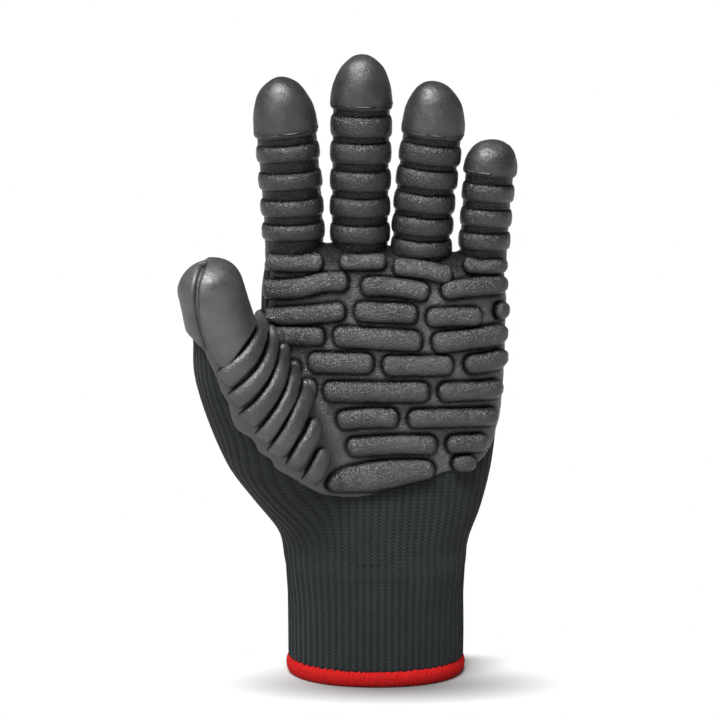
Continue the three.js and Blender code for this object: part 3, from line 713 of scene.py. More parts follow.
def stitchTree():
    # thread loops set along the hem's path; every size comes in by a named input
    tree = bpy.data.node_groups.new("hemStitches", "GeometryNodeTree")
    sockets = {}
    for name, kind, default in (("Path", "Geometry", None), ("Stitches", "Int", 100), ("Height", "Float", 0.006),
                                ("Depth", "Float", 0.004), ("Thread", "Float", 0.0005), ("Seed", "Int", 0),
                                ("Thread Look", "Material", None)):
        socket = tree.interface.new_socket(name, in_out="INPUT", socket_type="NodeSocket" + kind)
        if default is not None:
            socket.default_value = default
        sockets[name] = socket.identifier
    tree.interface.new_socket("Stitches Mesh", in_out="OUTPUT", socket_type="NodeSocketGeometry")

    def add(kind, inputs=None, **settings):
        return addNode(tree, kind, inputs, **settings).outputs

    def chance(low, high):
        return add("FunctionNodeRandomValue", {2: low, 3: high, "Seed": given["Seed"]}, data_type="FLOAT")[1]

    given = add("NodeGroupInput")
    spots = add("GeometryNodeCurveToPoints", {"Curve": given["Path"], "Count": given["Stitches"]}, mode="COUNT")
    arc = add("GeometryNodeCurveArc", {"Resolution": 9, "Radius": 0.5, "Start Angle": math.radians(-112),
                                       "Sweep Angle": math.radians(232)}, mode="RADIUS")
    slim = maths(tree, "DIVIDE", given["Thread"], given["Height"])
    tube = add("GeometryNodeCurvePrimitiveCircle", {"Resolution": 6, "Radius": slim}, mode="RADIUS")
    loop = add("GeometryNodeCurveToMesh", {"Curve": arc[0], "Profile Curve": tube[0], "Fill Caps": True})
    tall = maths(tree, "MULTIPLY", given["Height"], chance(0.9, 1.12))
    size = add("ShaderNodeCombineXYZ", {"X": given["Depth"], "Y": tall, "Z": given["Height"]})
    slanted = add("ShaderNodeCombineXYZ", {"X": chance(0.02, 0.2)})
    toTangent = add("FunctionNodeAlignEulerToVector", {"Vector": spots["Tangent"]}, axis="Z")
    upright = add("FunctionNodeAlignEulerToVector", {"Rotation": toTangent[0], "Vector": (0, 0, 1)},
                  axis="Y", pivot_axis="Z")
    turned = add("FunctionNodeRotateEuler", {"Rotation": upright[0], "Rotate By": slanted[0]}, space="LOCAL")
    laid = add("GeometryNodeInstanceOnPoints", {"Points": spots["Points"], "Instance": loop[0],
                                                "Rotation": turned[0], "Scale": size[0]})
    real = add("GeometryNodeRealizeInstances", {"Geometry": laid[0]})
    painted = add("GeometryNodeSetMaterial", {"Geometry": real[0], "Material": given["Thread Look"]})
    smooth = add("GeometryNodeSetShadeSmooth", {"Geometry": painted[0]})
    add("NodeGroupOutput", {0: smooth[0]})
    return tree, sockets


def makeHemStitches():
    line = hemLine(240, 0.05, 3.15)[0] * mm
    curve = bpy.data.curves.new("hemPath", "CURVE")
    curve.dimensions = "3D"
    spline = curve.splines.new("POLY")
    spline.points.add(len(line) - 1)
    spline.points.foreach_set("co", np.concatenate([line, np.ones((len(line), 1))], 1).ravel())
    spline.use_cyclic_u = True
    holder = newObject("hemPath", curve)
    modifier = holder.modifiers.new("stitches", "NODES")
    modifier.node_group, sockets = stitchTree()
    for name, value in (("Stitches", hem["stitches"]), ("Height", hem["height"] * mm), ("Depth", hem["thick"] * mm),
                        ("Thread", hem["thread"] * mm), ("Seed", hem["seed"]), ("Thread Look", redThread)):
        modifier[sockets[name]] = value
    return bakedMesh(holder)


addPiece("hemBand", makeHemBand(), redThread, ["hem"])
addPiece("hemStitches", makeHemStitches(), redThread, [])
print("hem made")


def clipSkin(points, normals, triangles, value):
    # the part of the skin where the value is negative, cut exactly where it is zero
    inside = value[triangles] < 0
    count = inside.sum(1)
    whole = triangles[count == 3]
    added, newPoints, newNormals, newValues, faces = {}, [], [], [], []

    def crossing(a, b):
        key = (a, b) if a < b else (b, a)
        if key not in added:
            t = value[key[0]] / (value[key[0]] - value[key[1]])
            added[key] = len(points) + len(newPoints)
            newPoints.append(points[key[0]] * (1 - t) + points[key[1]] * t)
            newNormals.append(normals[key[0]] * (1 - t) + normals[key[1]] * t)
            newValues.append(0.0)
        return added[key]

    for tri, flags in zip(triangles[(count > 0) & (count < 3)].tolist(),
                          inside[(count > 0) & (count < 3)].tolist()):
        ring = []
        for k in range(3):
            a, b = tri[k], tri[(k + 1) % 3]
            if flags[k]:
                ring.append(a)
            if flags[k] != flags[(k + 1) % 3]:
                ring.append(crossing(a, b))
        faces.append(ring[:3])
        if len(ring) == 4:
            faces.append([ring[0], ring[2], ring[3]])
    allPoints = np.concatenate([points, np.array(newPoints).reshape(-1, 3)])
    allNormals = unit(np.concatenate([normals, np.array(newNormals).reshape(-1, 3)]))
    allValues = np.concatenate([value, newValues])
    allFaces = np.concatenate([whole, np.array(faces, int).reshape(-1, 3)])
    used, compact = np.unique(allFaces, return_inverse=True)
    return allPoints[used], allNormals[used], allValues[used], compact.reshape(-1, 3)


def shellOf(outer, inner, faces):
    # a closed thin shell from an outer and an inner skin with the same faces, with walls where a face has no neighbour
    edges = np.concatenate([faces[:, [0, 1]], faces[:, [1, 2]], faces[:, [2, 0]]])
    keys = np.sort(edges, axis=1)
    order = keys[:, 0].astype(np.int64) * (faces.max() + 1) + keys[:, 1]
    _, first, count = np.unique(order, return_index=True, return_counts=True)
    n = len(outer)
    walls = [(b, a, a + n, b + n) for a, b in edges[first[count == 1]].tolist()]
    return np.concatenate([outer, inner]), faces.tolist() + (faces[:, ::-1] + n).tolist() + walls


def insidePolygon(x, z, line):
    odd = np.zeros(len(x), bool)
    for (ax, az), (bx, bz) in zip(line, np.roll(line, -1, 0)):
        if az != bz:
            odd ^= ((az > z) != (bz > z)) & (x < (bx - ax) * (z - az) / (bz - az) + ax)
    return odd


# Rounded bars: pads on the palm and ribs on the thumb
padRows = {  # points in mm on the palm, from the left end to the right, and the width of each bar
    "palm_pad_1a": ([(-44.6, 159.6), (-29.7, 161.0), (-20.0, 163.4), (-10.4, 163.8)], 8.3),
    "palm_pad_1b": ([(-6.4, 161.6), (3.3, 161.8), (13.0, 160.8), (20.8, 159.0)], 8.3),
    "palm_pad_1c": ([(24.9, 160.0), (38.3, 161.2), (50.7, 161.6)], 7.9),
    "palm_pad_2a": ([(-44.2, 148.8), (-27.8, 150.4), (-11.7, 152.5)], 7.8),
    "palm_pad_2b": ([(-9.1, 152.1), (3.3, 151.7), (16.4, 150.8)], 8.4),
    "palm_pad_2c": ([(19.0, 149.6), (30.6, 149.8), (41.6, 149.6)], 7.9),
    "palm_pad_2d": ([(46.2, 151.2), (51.2, 151.2)], 7.2),
    "palm_pad_3a": ([(-41.6, 141.5), (-29.8, 142.0), (-19.6, 142.2)], 7.8),
    "palm_pad_3b": ([(-17.3, 142.4), (0.6, 141.3), (18.4, 139.9)], 8.8),
    "palm_pad_3c": ([(21.2, 139.1), (36.6, 140.7), (51.0, 142.0)], 8.8),
    "palm_pad_4a": ([(-27.1, 131.1), (-14.2, 131.1), (-0.6, 131.1)], 8.8),
    "palm_pad_4b": ([(1.8, 130.1), (16.3, 130.1), (30.5, 130.1)], 8.5),
    "palm_pad_4c": ([(34.2, 129.9), (43.3, 130.5), (51.2, 131.9)], 8.2),
    "palm_pad_5a": ([(-21.3, 119.6), (-0.1, 119.5), (21.3, 119.4)], 8.6),
    "palm_pad_5b": ([(23.9, 119.3), (36.8, 119.2), (49.5, 119.1)], 8.0),
    "palm_pad_6a": ([(-16.0, 107.6), (-4.4, 109.1), (9.2, 109.2)], 8.4),
    "palm_pad_6b": ([(11.9, 108.7), (29.8, 108.7), (47.9, 108.2)], 8.0),
    "palm_pad_7a": ([(-12.0, 97.0), (5.4, 98.2), (24.3, 98.1)], 8.2),
    "palm_pad_7b": ([(27.2, 98.0), (35.4, 98.0), (44.1, 97.7)], 7.9),
    "palm_pad_8a": ([(-20.0, 83.2), (-4.0, 85.0), (10.0, 87.0), (23.6, 88.4)], (7.0, 10.8, 12.6, 12.2, 10.0, 7.6)),
    "palm_pad_8b": ([(29.7, 89.6), (34.3, 90.0), (39.5, 90.0)], 7.2),
    "index_root_pad": ([(-43.6, 170.6), (-32.4, 170.4), (-20.4, 170.8)], 7.4),
    "middle_root_pad": ([(-14.8, 170.9), (-5.2, 170.7), (4.2, 170.8)], 6.8),
    "ring_root_pad": ([(6.0, 169.4), (17.7, 167.9), (30.0, 165.7)], 7.2),
    "little_root_pad": ([(33.6, 169.2), (42.1, 168.8), (50.5, 169.0)], 7.0),
}
flushPads = ("index_root_pad", "palm_pad_1a", "palm_pad_2a")  # their left ends sink into the coating's edge
# uneven holds the height and size of soft lumps and of fine crinkles
pad = {"height": 3.5, "flush": 2.6, "drop": 0.9, "step": 0.55, "across": 9, "sunk": 0.5,
       "uneven": (0.28, 7.0, 0.1, 1.7), "seed": 1.0}

thumbRows = {  # points in mm from the outer end, which sinks into the film, and widths on the way
    "thumb_rib_a": ([(-59.8, 127.7), (-57.1, 130.0), (-52.9, 133.4), (-48.7, 137.8), (-46.0, 142.4), (-45.2, 146.5),
                     (-45.6, 150.5)], (9.0, 8.9, 8.2, 7.8, 7.2, 6.3, 5.0)),
    "thumb_rib_b": ([(-56.1, 119.0), (-53.5, 121.3), (-47.9, 126.4), (-43.5, 131.8), (-41.3, 137.0), (-41.0, 141.0),
                     (-41.6, 145.0)], (8.0, 7.9, 7.6, 6.6, 6.0, 5.6, 5.0)),
    "thumb_rib_c": ([(-51.0, 111.0), (-48.6, 113.6), (-43.0, 119.6), (-39.2, 125.3), (-37.3, 130.9), (-36.8, 135.5),
                     (-37.4, 139.0)], (8.8, 8.6, 7.6, 7.3, 7.0, 6.8, 6.4)),
    "thumb_rib_d": ([(-45.3, 103.5), (-43.3, 106.3), (-38.0, 113.9), (-34.4, 120.1), (-32.8, 125.7), (-32.5, 129.0),
                     (-33.0, 132.0)], (7.4, 7.3, 6.4, 6.3, 6.7, 6.8, 6.6)),
    "thumb_rib_e": ([(-39.8, 96.9), (-38.0, 99.9), (-33.0, 108.1), (-29.7, 114.9), (-27.6, 119.2), (-27.0, 121.6),
                     (-27.0, 124.8)], (8.0, 7.9, 7.9, 7.8, 8.5, 8.2, 7.6)),
    "thumb_rib_f": ([(-33.6, 90.3), (-31.9, 93.3), (-28.3, 99.9), (-25.2, 104.5), (-24.0, 109.6)],
                    (7.7, 7.7, 7.9, 8.2, 7.6)),
    "thumb_rib_g": ([(-27.3, 83.7), (-25.6, 86.6), (-23.0, 91.1), (-21.5, 94.7), (-21.4, 98.4)],
                    (8.0, 8.0, 8.8, 8.0, 7.2)),
}
thumbRib = {"height": 3.0, "step": 0.55, "across": 9, "sunk": 0.5, "runOut": 6.0,
            "uneven": (0.25, 7.0, 0.09, 1.8), "seed": 40.0}
barFeet = []  # foot points of every bar, for the grooves in the film and their painted shade


def onSkin(tree, x, z):
    # the point and normal of a skin in front of a place on the palm
    hit = tree.ray_cast(Vector((x, -200, z)), Vector((0, 1, 0)))
    if hit[0] is None:
        hit = tree.find_nearest(Vector((x, -18, z)))
    return np.array(hit[0]), np.array(hit[1])


def roundEnd(toEnd, endLong):
    # how wide and how high a bar is near its rounded end, in shares
    into = 1 - min(1.0, toEnd / endLong)
    return math.sqrt(max(0.0, 1 - into**2.3)), (1 - into**3.2) ** 0.5


def walkAside(tree, place, face, way, steps):
    # points and normals of the skin at steps to one side
    walked = []
    for step in steps:
        found = tree.find_nearest(Vector(place + way * step))
        place = np.array(found[0])
        face = unit(face * 0.6 + np.array(found[1]) * 0.4)
        way = unit(way - face * way.dot(face))
        walked.append((place, face))
    return walked


def roundBar(tree, line, widths, shape, runOut=0.0):
    # a bar along a line on the skin: rings across it, each from foot over the top to the other foot
    line, length = smoothLine(line, 200)
    half = np.atleast_1d(widths) / 2
    endLong = min(float(half.mean()) * 0.95, length * 0.48)
    ends = endLong * (1 - np.cos(np.linspace(0, quarter, 9)[:-1]))  # rings are closer in the rounded ends
    middle = np.linspace(endLong, length - endLong, max(12, int(length / shape["step"])))
    spots = np.concatenate([ends, middle, (length - ends)[::-1]])
    offsets = np.sin(np.linspace(0, quarter, shape["across"] + 1))
    spread = np.concatenate([-offsets[:0:-1], offsets])
    places = columnsAt(spots / length, np.linspace(0, 1, 200), line)
    centres, normals = (np.array(values) for values in zip(*[onSkin(tree, x, z) for x, z in places]))
    for _ in range(4):  # evens out the facets of the skin
        normals[1:-1] = unit(normals[:-2] + 2 * normals[1:-1] + normals[2:])
        centres[1:-1] = (centres[:-2] + 2 * centres[1:-1] + centres[2:]) / 4
    rings, lifts = [], []
    for spot, centre, normal, along in zip(spots, centres, normals, unit(np.gradient(centres, axis=0))):
        width = np.interp(spot / length, np.linspace(0, 1, len(half)), half)
        full, sunk = shape["height"], 0.0
        if runOut and spot < length / 2:  # this end keeps its width and sinks into the film
            rise = full = 0.02 + (full - 0.02) * float(smoothStep(0, runOut, spot)) ** 0.8
            sunk = 0.55 * (1 - float(smoothStep(0, runOut * 0.6, spot)))
        else:
            narrow, lift = roundEnd(min(spot, length - spot), endLong)
            width, rise = max(width * narrow, 0.05), max(full * lift, 0.02)
        across = unit(np.cross(along, normal))
        left, right = (walkAside(tree, centre, normal, across * sign, np.diff(offsets) * width) for sign in (-1, 1))
        points, faces = (np.array(values) for values in zip(*left[::-1], (centre, normal), *right))
        crown = (1 - np.abs(spread) ** 2.6) ** 0.42 * rise
        ring = points + faces * (crown - sunk)[:, None]
        feet = ring[[0, -1]] - faces[[0, -1]] * shape["sunk"]
        rings.append(np.concatenate([feet[:1], ring, feet[1:]]))
        lifts.append(np.pad(crown, 1) / full)
    return np.array(rings), np.array(lifts)


def volumeOf(verts, faces):
    # positive where the faces look outwards
    return sum(float(np.dot(verts[face[0]], np.cross(verts[face[k]], verts[face[k + 1]])))
               for face in faces for k in range(1, len(face) - 1))


def turnedOut(verts, faces):
    return (verts, [tuple(reversed(face)) for face in faces]) if volumeOf(verts, faces) < 0 else (verts, faces)


def uneven(verts, faces, seed, lump, lumpSize, crinkle, crinkleSize):
    # the skin with small moulded unevenness
    mesh = meshOf("trial", verts, faces)
    bumps = lump * wobble(verts, lumpSize, seed) + crinkle * wobble(verts, crinkleSize, seed + 5)
    verts = verts + normalsOf(mesh) * bumps[:, None]
    bpy.data.meshes.remove(mesh)
    return verts, faces


def footShade(lifts):
    # painted shade: dark where a bar meets the film round it
    return np.concatenate([1 - smoothStep(0.2, 0.85, lifts).ravel(), [1, 1]])


def addBar(name, line, widths, shape, material, number, runOut, skipped):
    rings, lifts = roundBar(filmTree, line, widths, shape, runOut)
    skin = loft(rings)
    mesh = meshOf(name + "Bar", *uneven(*skin, shape["seed"] + number, *shape["uneven"]))
    setValue(mesh, "grooveAndShade", footShade(lifts))
    if volumeOf(*skin) < 0:
        mesh.flip_normals()
    barFeet.extend([rings[skipped:, 1], rings[skipped:, -2]])
    addPiece(name + "_rubber", mesh, material, [name])


for number, (name, (points, widths)) in enumerate(padRows.items()):
    line = [(x, z - pad["drop"] * float(smoothStep(125, 148, z))) for x, z in points]
    flush = name in flushPads
    addBar(name, line, widths, pad, padRubber, number, pad["flush"] if flush else 0.0, 10 if flush else 0)
print("pads made")

for number, (name, (line, widths)) in enumerate(thumbRows.items()):
    addBar(name, line, widths, thumbRib, thumbRubber, number, thumbRib["runOut"], 13)
print("thumb ribs made")

# Finger sleeves: a thin film round the front with raised ribs
sleeve = {
    "film": 0.9, "frontHeight": 2.7, "sideHeight": 0.55, "wrap": 112, "filmWrap": 124, "sunk": 0.5, "across": 8,
    "level": 1.6,  # how far the front of a rib stands above its sides, which evens its arc
    "filmUneven": (0.12, 5.0, 0.16, 1.2), "ribUneven": (0.22, 6.0, 0.09, 1.6),
    "ribs": {  # heights of the rib centres in mm and their widths along the finger
        "index": [(213.9, 6.6), (203.0, 7.0), (192.3, 6.9), (182.6, 6.8)],
        "middle": [(224.1, 8.4), (213.7, 8.5), (202.8, 8.3), (192.4, 7.9), (181.7, 7.7)],
        "ring": [(213.2, 7.8), (203.8, 7.6), (194.2, 7.6), (185.0, 7.5), (175.8, 7.3)],
        "little": [(197.9, 7.2), (188.0, 7.1), (178.6, 7.0)],
    },
}


def fingerRib(finger, share, wide):
    # rings of one rib that wraps round the front of a finger
    long = fingerLong(finger)
    wrap = math.radians(sleeve["wrap"])
    endTurn = wide / 2 * 0.95 / (fingerHalves(finger)[0] + 2)
    ends = endTurn * (1 - np.cos(np.linspace(0, quarter, 8)[:-1]))
    angles = np.concatenate([-wrap + ends, np.linspace(-wrap + endTurn, wrap - endTurn, 60), (wrap - ends)[::-1]])
    offsets = np.sin(np.linspace(-quarter, quarter, 2 * sleeve["across"] + 1))
    rings, lifts = [], []
    for angle in angles:
        narrow, lift = roundEnd(min(angle + wrap, wrap - angle), endTurn)
        front = math.cos(min(abs(angle), quarter)) ** 0.7
        full = blend(sleeve["sideHeight"], sleeve["frontHeight"], front)
        crown = (1 - np.abs(offsets) ** 2.8) ** 0.42 * max(full * lift, 0.02)
        at = share + sleeve["level"] * (math.cos(angle) - 0.5) / long + offsets * (max(wide / 2 * narrow, 0.05) / long)
        ring = fingerSkin(finger, at, angle, sleeve["film"] + crown)
        low = fingerSkin(finger, at[[0, -1]], angle, sleeve["film"] - sleeve["sunk"])
        rings.append(np.concatenate([low[:1], ring, low[1:]]))
        lifts.append(np.pad(crown, 1) / full)
    return np.array(rings), np.array(lifts)


def sleeveFilm(finger):
    # the coated skin under the ribs, from the finger line up into the cap
    wrap = math.radians(sleeve["filmWrap"])
    top = (finger["cap"] - fingerAxis(finger, 0)[2]) / fingerLong(finger)
    angles = np.linspace(-wrap, wrap, 72)
    edge = roundOff(np.clip((np.abs(angles) - wrap + 0.12) / 0.12, 0, 1))
    outer, inner = (np.array([fingerSkin(finger, share, angles, grow) for share in np.linspace(-0.1, top + 0.06, 90)])
                    for grow in (sleeve["film"] * edge + 0.02, np.full(72, -0.2)))
    return loft(np.concatenate([outer, inner[:, ::-1]], axis=1))


for number, (name, finger) in enumerate(fingers.items()):
    parts = [uneven(*turnedOut(*sleeveFilm(finger)), 70.0 + number, *sleeve["filmUneven"])]
    # painted shade: the film between the ribs is darkened all over, and each rib's foot darker still
    shades = [np.full(len(parts[0][0]), 0.6)]
    for k, (height, wide) in enumerate(sleeve["ribs"][name]):
        rings, lifts = fingerRib(finger, (height - fingerAxis(finger, 0)[2]) / fingerLong(finger), wide)
        shades.append(footShade(lifts))
        parts.append(uneven(*turnedOut(*loft(rings)), 80.0 + 9 * number + k, *sleeve["ribUneven"]))
    sleeveMesh = joinMeshes(name + "Sleeve", parts)
    setValue(sleeveMesh, "grooveAndShade", np.concatenate(shades))
    addPiece(name + "_sleeve_rubber", sleeveMesh, ribRubber, [name + "_sleeve"])
print("finger sleeves made")

# The thick caps of the fingers; core is the least thickness at the lip
cap = {"wall": 2.5, "backWall": 1.5, "slope": 1.0, "lip": 2.3, "core": 0.5, "tipOver": 2.2, "lump": 0.4,
       "lumpSize": 7.0, "crinkleSize": 1.5, "crinkle": {"index": 0.05, "middle": 0.05, "ring": 0.06, "little": 0.15}}


def fingerCap(finger):
    # a smooth thick dome, half an ellipse in outline, whose edge overhangs the first groove
    long = fingerLong(finger)
    halfWidth, halfDepth = fingerHalves(finger)
    angles = np.linspace(0, whole, 96, endpoint=False)
    front = np.cos(angles)
    edge = (finger["cap"] + cap["slope"] * front - fingerAxis(finger, 0)[2]) / long
    wall = blend(cap["backWall"], cap["wall"], 0.5 + 0.5 * front)
    tip = 1 + cap["tipOver"] / long
    rings = [fingerSkin(finger, edge + cap["lip"] / long, angles, np.zeros(96))]
    shades = [np.ones(96)]
    lipTurn = np.linspace(math.radians(-70), quarter, 14)
    rises = np.concatenate([cap["lip"] / long * (1 - np.cos(lipTurn)) / (tip - edge.mean()),
                            np.sin(np.linspace(0.09, quarter - 0.02, 64))])
    grows = np.concatenate([0.5 + 0.5 * np.sin(lipTurn), np.ones(64)])
    for rise, grow in zip(rises, grows):
        centre, _, side, back = fingerFrames(finger, blend(edge, tip, rise))
        shrink = math.sqrt(max(0.0, 1 - rise ** finger["round"]))
        wide = (halfWidth + cap["core"] + (wall - cap["core"]) * grow) * shrink
        deep = (halfDepth + cap["core"] + (wall + 0.6 - cap["core"]) * grow) * shrink
        rings.append(centre + side * (np.sin(angles) * wide + finger["tipShift"] * rise**2)[:, None]
                     - back * (front * deep)[:, None])
        # painted shade: black on the lip's underside and a little darker over the lower part of the cap
        shades.append(np.full(96, max(1 - smoothStep(0.5, 0.95, grow), 0.3 * (1 - smoothStep(0.08, 0.2, rise)))))
    return *turnedOut(*loft(rings)), np.concatenate([np.ravel(shades), [1, 0]])


def addCap(name, verts, faces, shade, material, seed, *amounts):
    mesh = meshOf(name + "Tip", *uneven(verts, faces, seed, *amounts))
    setValue(mesh, "grooveAndShade", shade)
    addPiece(name + "_tip_rubber", mesh, material, [name + "_tip"])


for number, (name, finger) in enumerate(fingers.items()):
    addCap(name, *fingerCap(finger), capRubber, 120.0 + number, cap["lump"], cap["lumpSize"], cap["crinkle"][name],
           cap["crinkleSize"])
print("finger caps made")

# The palm film with its wavy border. In the border, wavy gives the first and last of the points that are made smooth.
# The film sinks round the bars, and the same mask paints shade there.
film = {
    "wall": 0.9, "rim": 1.3, "back": 3.1, "thumbBack": 4.2, "lump": 0.18, "crinkle": 0.16, "grooveAndShade": 0.45,
    "grooveWide": 1.5, "least": 0.42, "rootShade": 0.85, "wavy": (2, 27),
    "border": [
        (-76, 147.5), (-71.3, 146.2), (-66.4, 142.5), (-64.2, 136.4), (-60.8, 128.7), (-59.4, 123.9), (-57.1, 119.8),
        (-56, 114.4), (-54.2, 109.2), (-47.8, 104.3), (-45.4, 99.2), (-40.8, 95.6), (-39.7, 92.8), (-34.6, 88.9),
        (-29.2, 85.1), (-22, 79.8), (-12.7, 77.1), (-4, 77.5), (3.3, 79.5), (11, 81.2), (16.4, 82.4), (28.7, 86.7),
        (35.8, 87.1), (38, 87.8), (45.9, 96), (48.6, 104.2), (54, 112), (70, 116), (70, 176), (-49, 176), (-49, 158),
        (-76, 180)],
}
first, last = film["wavy"]
filmLine = np.concatenate([film["border"][:first], smoothLine(film["border"][first:last], 260)[0],
                           film["border"][last:]])


def filmValue(points):
    # negative where the film covers the skin, about the distance to its edge in mm
    x, y, z = points.T
    edge = lineDistance(x, z, filmLine, closed=True)
    edge = np.where(insidePolygon(x, z, filmLine), -edge, edge)
    thumbBack = np.interp(z, hand["cuffLength"] + hand["palmLength"] * thumbTable[:, 0],
                          -hand["thumbForward"] * thumbTable[:, 2]) + film["thumbBack"]
    onThumb = 1 - smoothStep(-47, -39, x)
    return np.maximum(edge, y - (film["back"] * (1 - onThumb) + thumbBack * onThumb))


def barDistance(points):
    # how far each point is from the nearest foot of a bar
    feet = np.concatenate(barFeet)
    tree = KDTree(len(feet))
    for i, foot in enumerate(feet):
        tree.insert(Vector(foot), i)
    tree.balance()
    return np.array([tree.find(Vector(point))[2] for point in points])


def makePalmFilm():
    points, normals, value, faces = clipSkin(skinPoints, skinNormals, skinTriangles, filmValue(skinPoints))
    x, _, z = points.T
    calm = 1 - smoothStep(-9, 9, (x + 17) + 0.62 * (z - 104))  # 1 on the thumb's smoother mound
    near = barDistance(points + normals * film["wall"])
    # painted shade round the feet of the bars; the same mask also sinks the film there
    grooveAndShade = (1 - smoothStep(0.2, film["grooveWide"], near)) * (1 - 0.3 * calm)
    roots = smoothStep(-10, -5, z - (fingerLine - x * tilt))  # painted shade between the finger roots
    grooveAndShade = np.maximum(grooveAndShade, film["rootShade"] * roots * (x > -47))
    # painted highlight on the peeled edge at the lower right, where it catches the light
    peelHighlight = (1 - smoothStep(0.1, 0.5, -value)) * smoothStep(40, 43, x) * (
        smoothStep(88, 91, z) * (1 - smoothStep(103, 106, z)))
    bumps = film["lump"] * wobble(points, 6.0, 3.0) + film["crinkle"] * (1 - 0.8 * calm) * wobble(points, 1.6, 4.0)
    depthIn = np.clip(-value / film["rim"], 0, 1)
    thick = film["wall"] * roundOff(1 - depthIn) + 0.03
    thick = np.maximum(thick + (bumps - grooveAndShade * film["grooveAndShade"]) * depthIn, np.minimum(thick, film["least"]))
    mesh = meshOf("palmFilm", *shellOf(points + normals * thick[:, None], points - normals * 0.15, faces))
    for kind, values in (("grooveAndShade", grooveAndShade), ("calm", calm), ("peelHighlight", peelHighlight)):
        setValue(mesh, kind, np.concatenate([values, values]))
    return mesh


addPiece("palm_film_rubber", makePalmFilm(), filmRubber, ["palm_coating"])
print("film made")

# The thumb cap with its deep seam between pad and back flap.
# Its lower edge has its lowest point at foot and rises on both sides: slopes in x and z, and a lift in mm.
thumbCap = {
    "wall": 2.8, "thin": 0.3, "seamDepth": 1.7, "seamWide": 0.85, "seamShade": 0.9, "flapDrop": 0.9, "lip": 2.2,
    "seam": [(-62.6, 175.8), (-63.6, 173.6), (-65.0, 171.4), (-66.4, 168.0), (-67.2, 158.5), (-65.7, 148.1),
             (-63.8, 141.6), (-61.8, 136.5)],
    "dimple": (-60.5, 153.0), "dimpleSize": (3.0, 6.0), "dimpleDepth": 0.6, "foot": (58.0, 134.0),
    "slopes": ((-0.847, 0.533, 1.2), (0.674, 0.739, 0.0)), "uneven": (0.35, 9.0, 0.04, 1.6), "seed": 150.0,
}


def thumbCapEdge(x, z):
    # positive on the cap
    footX, footZ = thumbCap["foot"]
    return np.minimum(*(a * (x + footX) + b * (z - footZ) + lift for a, b, lift in thumbCap["slopes"]))


def makeThumbCap():
    angles = np.linspace(0, whole, 220, endpoint=False)
    rows = np.linspace(3.0, 6.6, 260)
    base = np.array([thumbSkin(row, angles, 0.0) for row in rows])
    inside = thumbCapEdge(base[..., 0], base[..., 2])
    start = np.full(len(angles), rows[0])
    for i in range(len(angles)):
        below = np.nonzero(inside[:, i] < 0)[0]
        if len(below):
            k = below[-1]
            start[i] = rows[k] + (rows[1] - rows[0]) * (inside[k, i] / (inside[k, i] - inside[k + 1, i]))
    for _ in range(2):
        start = (np.roll(start, 1) + 2 * start + np.roll(start, -1)) / 4
    grid = np.array([blend(start, 6.9995, math.sin(turn)) for turn in np.linspace(0, quarter, 190)])
    body = np.array([thumbSkin(row, angles, 0.0) for row in grid])
    gone = np.linalg.norm(np.diff(body, axis=0), axis=2).cumsum(0)
    gone = np.concatenate([np.zeros((1, len(angles))), gone])
    lip = roundOff(1 - np.clip(gone / thumbCap["lip"], 0, 1))
    wall = blend(thumbCap["thin"], thumbCap["wall"], lip)
    seam, _ = smoothLine(thumbCap["seam"], 120)
    x, z = body[..., 0], body[..., 2]
    off = lineDistance(x.ravel(), z.ravel(), seam).reshape(x.shape)
    front = smoothStep(-0.15, 0.3, np.cos(angles))[None, :] * np.ones_like(x)
    cut = thumbCap["seamDepth"] * np.exp(-(off / thumbCap["seamWide"]) ** 2) * front
    behind = smoothStep(-1.2, 0.6, np.interp(z, seam[::-1, 1], seam[::-1, 0]) - x)
    (atX, atZ), (wide, tall) = thumbCap["dimple"], thumbCap["dimpleSize"]
    dent = np.exp(-((x - atX) / wide) ** 2 - ((z - atZ) / tall) ** 2) * front
    wall = wall - cut - thumbCap["flapDrop"] * behind * lip - thumbCap["dimpleDepth"] * dent
    grows = np.maximum(wall, thumbCap["thin"])
    rings = [thumbSkin(grid[0], angles, 0.05)] + [thumbSkin(row, angles, grow) for row, grow in zip(grid, grows)]
    # painted shade along the seam on the cap's front
    shade = np.exp(-(off / thumbCap["seamShade"]) ** 2) * front
    return *turnedOut(*loft(rings)), np.concatenate([np.zeros(len(angles)), shade.ravel(), [0, 0]])


addCap("thumb", *makeThumbCap(), thumbCapRubber, thumbCap["seed"], *thumbCap["uneven"])
print("thumb cap made")

# Stage, lights and camera
# A painted shadow lies on the floor in front of the hem; its grey, place and size are set here.
studio = {
    "floor": -0.2, "floorHalf": 30, "target": (-6.4, 0.0, 129.0), "distance": 800, "above": 11, "lens": 100,
    "ambient": 0.2, "pale": "#fbfbfb", "shadowGrey": "#3c3c3c", "shadowPlace": (0.006, -0.019, 0), "shadowSize": (0.14, 0.05, 1),
    "lights": {  # place, aim, size in metres, watts
        "keyAbove": ((-0.2, -0.45, 1.1), (0, 0, 0.14), (0.7, 0.35), 24),
        "softFront": ((-0.35, -1.3, 0.45), (0, 0, 0.13), (0.6, 0.6), 3.6),
        "leftSide": ((-0.75, -0.7, 0.5), (-0.04, 0, 0.13), (0.2, 0.5), 2.8),
        "lowFill": ((0.3, -1.0, -0.05), (0, 0, 0.12), (0.8, 0.2), 2),
    },
}


def aimed(holder, place, aim):
    holder.location = place
    holder.rotation_mode = "QUATERNION"
    holder.rotation_quaternion = (Vector(aim) - Vector(place)).to_track_quat("-Z", "Y")


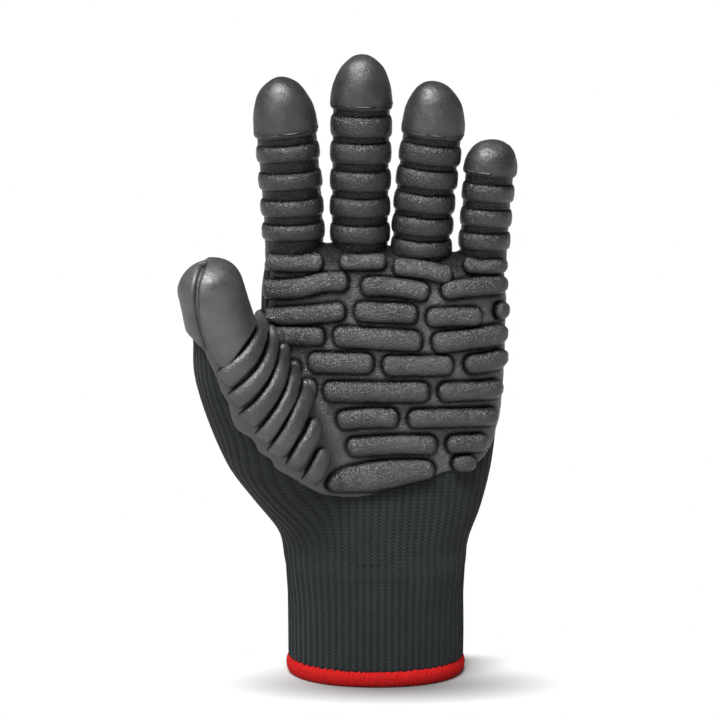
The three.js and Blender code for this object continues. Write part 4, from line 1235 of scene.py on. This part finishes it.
def makeFloor():
    # pale matt floor: a painted shadow, a soft grey spot in front of the hem as in the photo, and plain white away
    # from it
    low, half = studio["floor"] * mm, studio["floorHalf"]
    mesh = bpy.data.meshes.new("floor")
    mesh.from_pydata([(x, y, low) for x, y in ((-half, -half), (half, -half), (half, half), (-half, half))], [],
                     [(0, 1, 2, 3)])
    look, tree, shader, output = newMaterial("paleFloor")
    spot = addNode(tree, "ShaderNodeMapping", {"Vector": objectPlace(tree), "Location": studio["shadowPlace"],
                                               "Scale": studio["shadowSize"]}, vector_type="TEXTURE")
    far = addNode(tree, "ShaderNodeVectorMath", {0: spot.outputs[0]}, operation="LENGTH").outputs["Value"]
    fade, shadowGrey = (ranged(tree, far, *ends, interpolation_type="SMOOTHSTEP") for ends in ((0.6, 0.8), (-0.1, 0.95)))
    feed(shader, {"Base Color": mixTone(tree, shadowGrey, studio["shadowGrey"], studio["pale"]), "Roughness": 0.8})
    glow = addNode(tree, "ShaderNodeEmission", {"Color": (1, 1, 1, 1), "Strength": 1.0})
    blend = addNode(tree, "ShaderNodeMixShader", {0: fade, 1: shader.outputs[0], 2: glow.outputs[0]})
    feed(output, {"Surface": blend.outputs[0]})
    mesh.materials.append(look)
    return newObject("floor", mesh)


makeFloor()

# a white room that lights the glove only softly
world = bpy.data.worlds.new("studioWorld")
world.use_nodes = True
room = world.node_tree
room.nodes.clear()
seen = addNode(room, "ShaderNodeLightPath").outputs["Is Camera Ray"]
strength = addNode(room, "ShaderNodeMix", {0: seen, 2: studio["ambient"], 3: 1.0}, data_type="FLOAT").outputs[0]
backdrop = addNode(room, "ShaderNodeBackground", {"Color": (1, 1, 1, 1), "Strength": strength})
addNode(room, "ShaderNodeOutputWorld", {"Surface": backdrop.outputs[0]})
bpy.context.scene.world = world

for name, (place, aim, size, power) in studio["lights"].items():
    light = bpy.data.lights.new(name, "AREA")
    light.shape = "RECTANGLE"
    light.size, light.size_y = size
    light.energy = power
    aimed(newObject(name, light), place, aim)

camera = newObject("camera", bpy.data.cameras.new("camera"))
camera.data.lens = studio["lens"]
camera.data.sensor_width = 36
above = math.radians(studio["above"])
target = Vector(studio["target"]) * mm
aimed(camera, target + Vector((0, -math.cos(above), math.sin(above))) * studio["distance"] * mm, target)
bpy.context.scene.camera = camera
bpy.context.scene.view_settings.view_transform = "Standard"

print("scene ready")
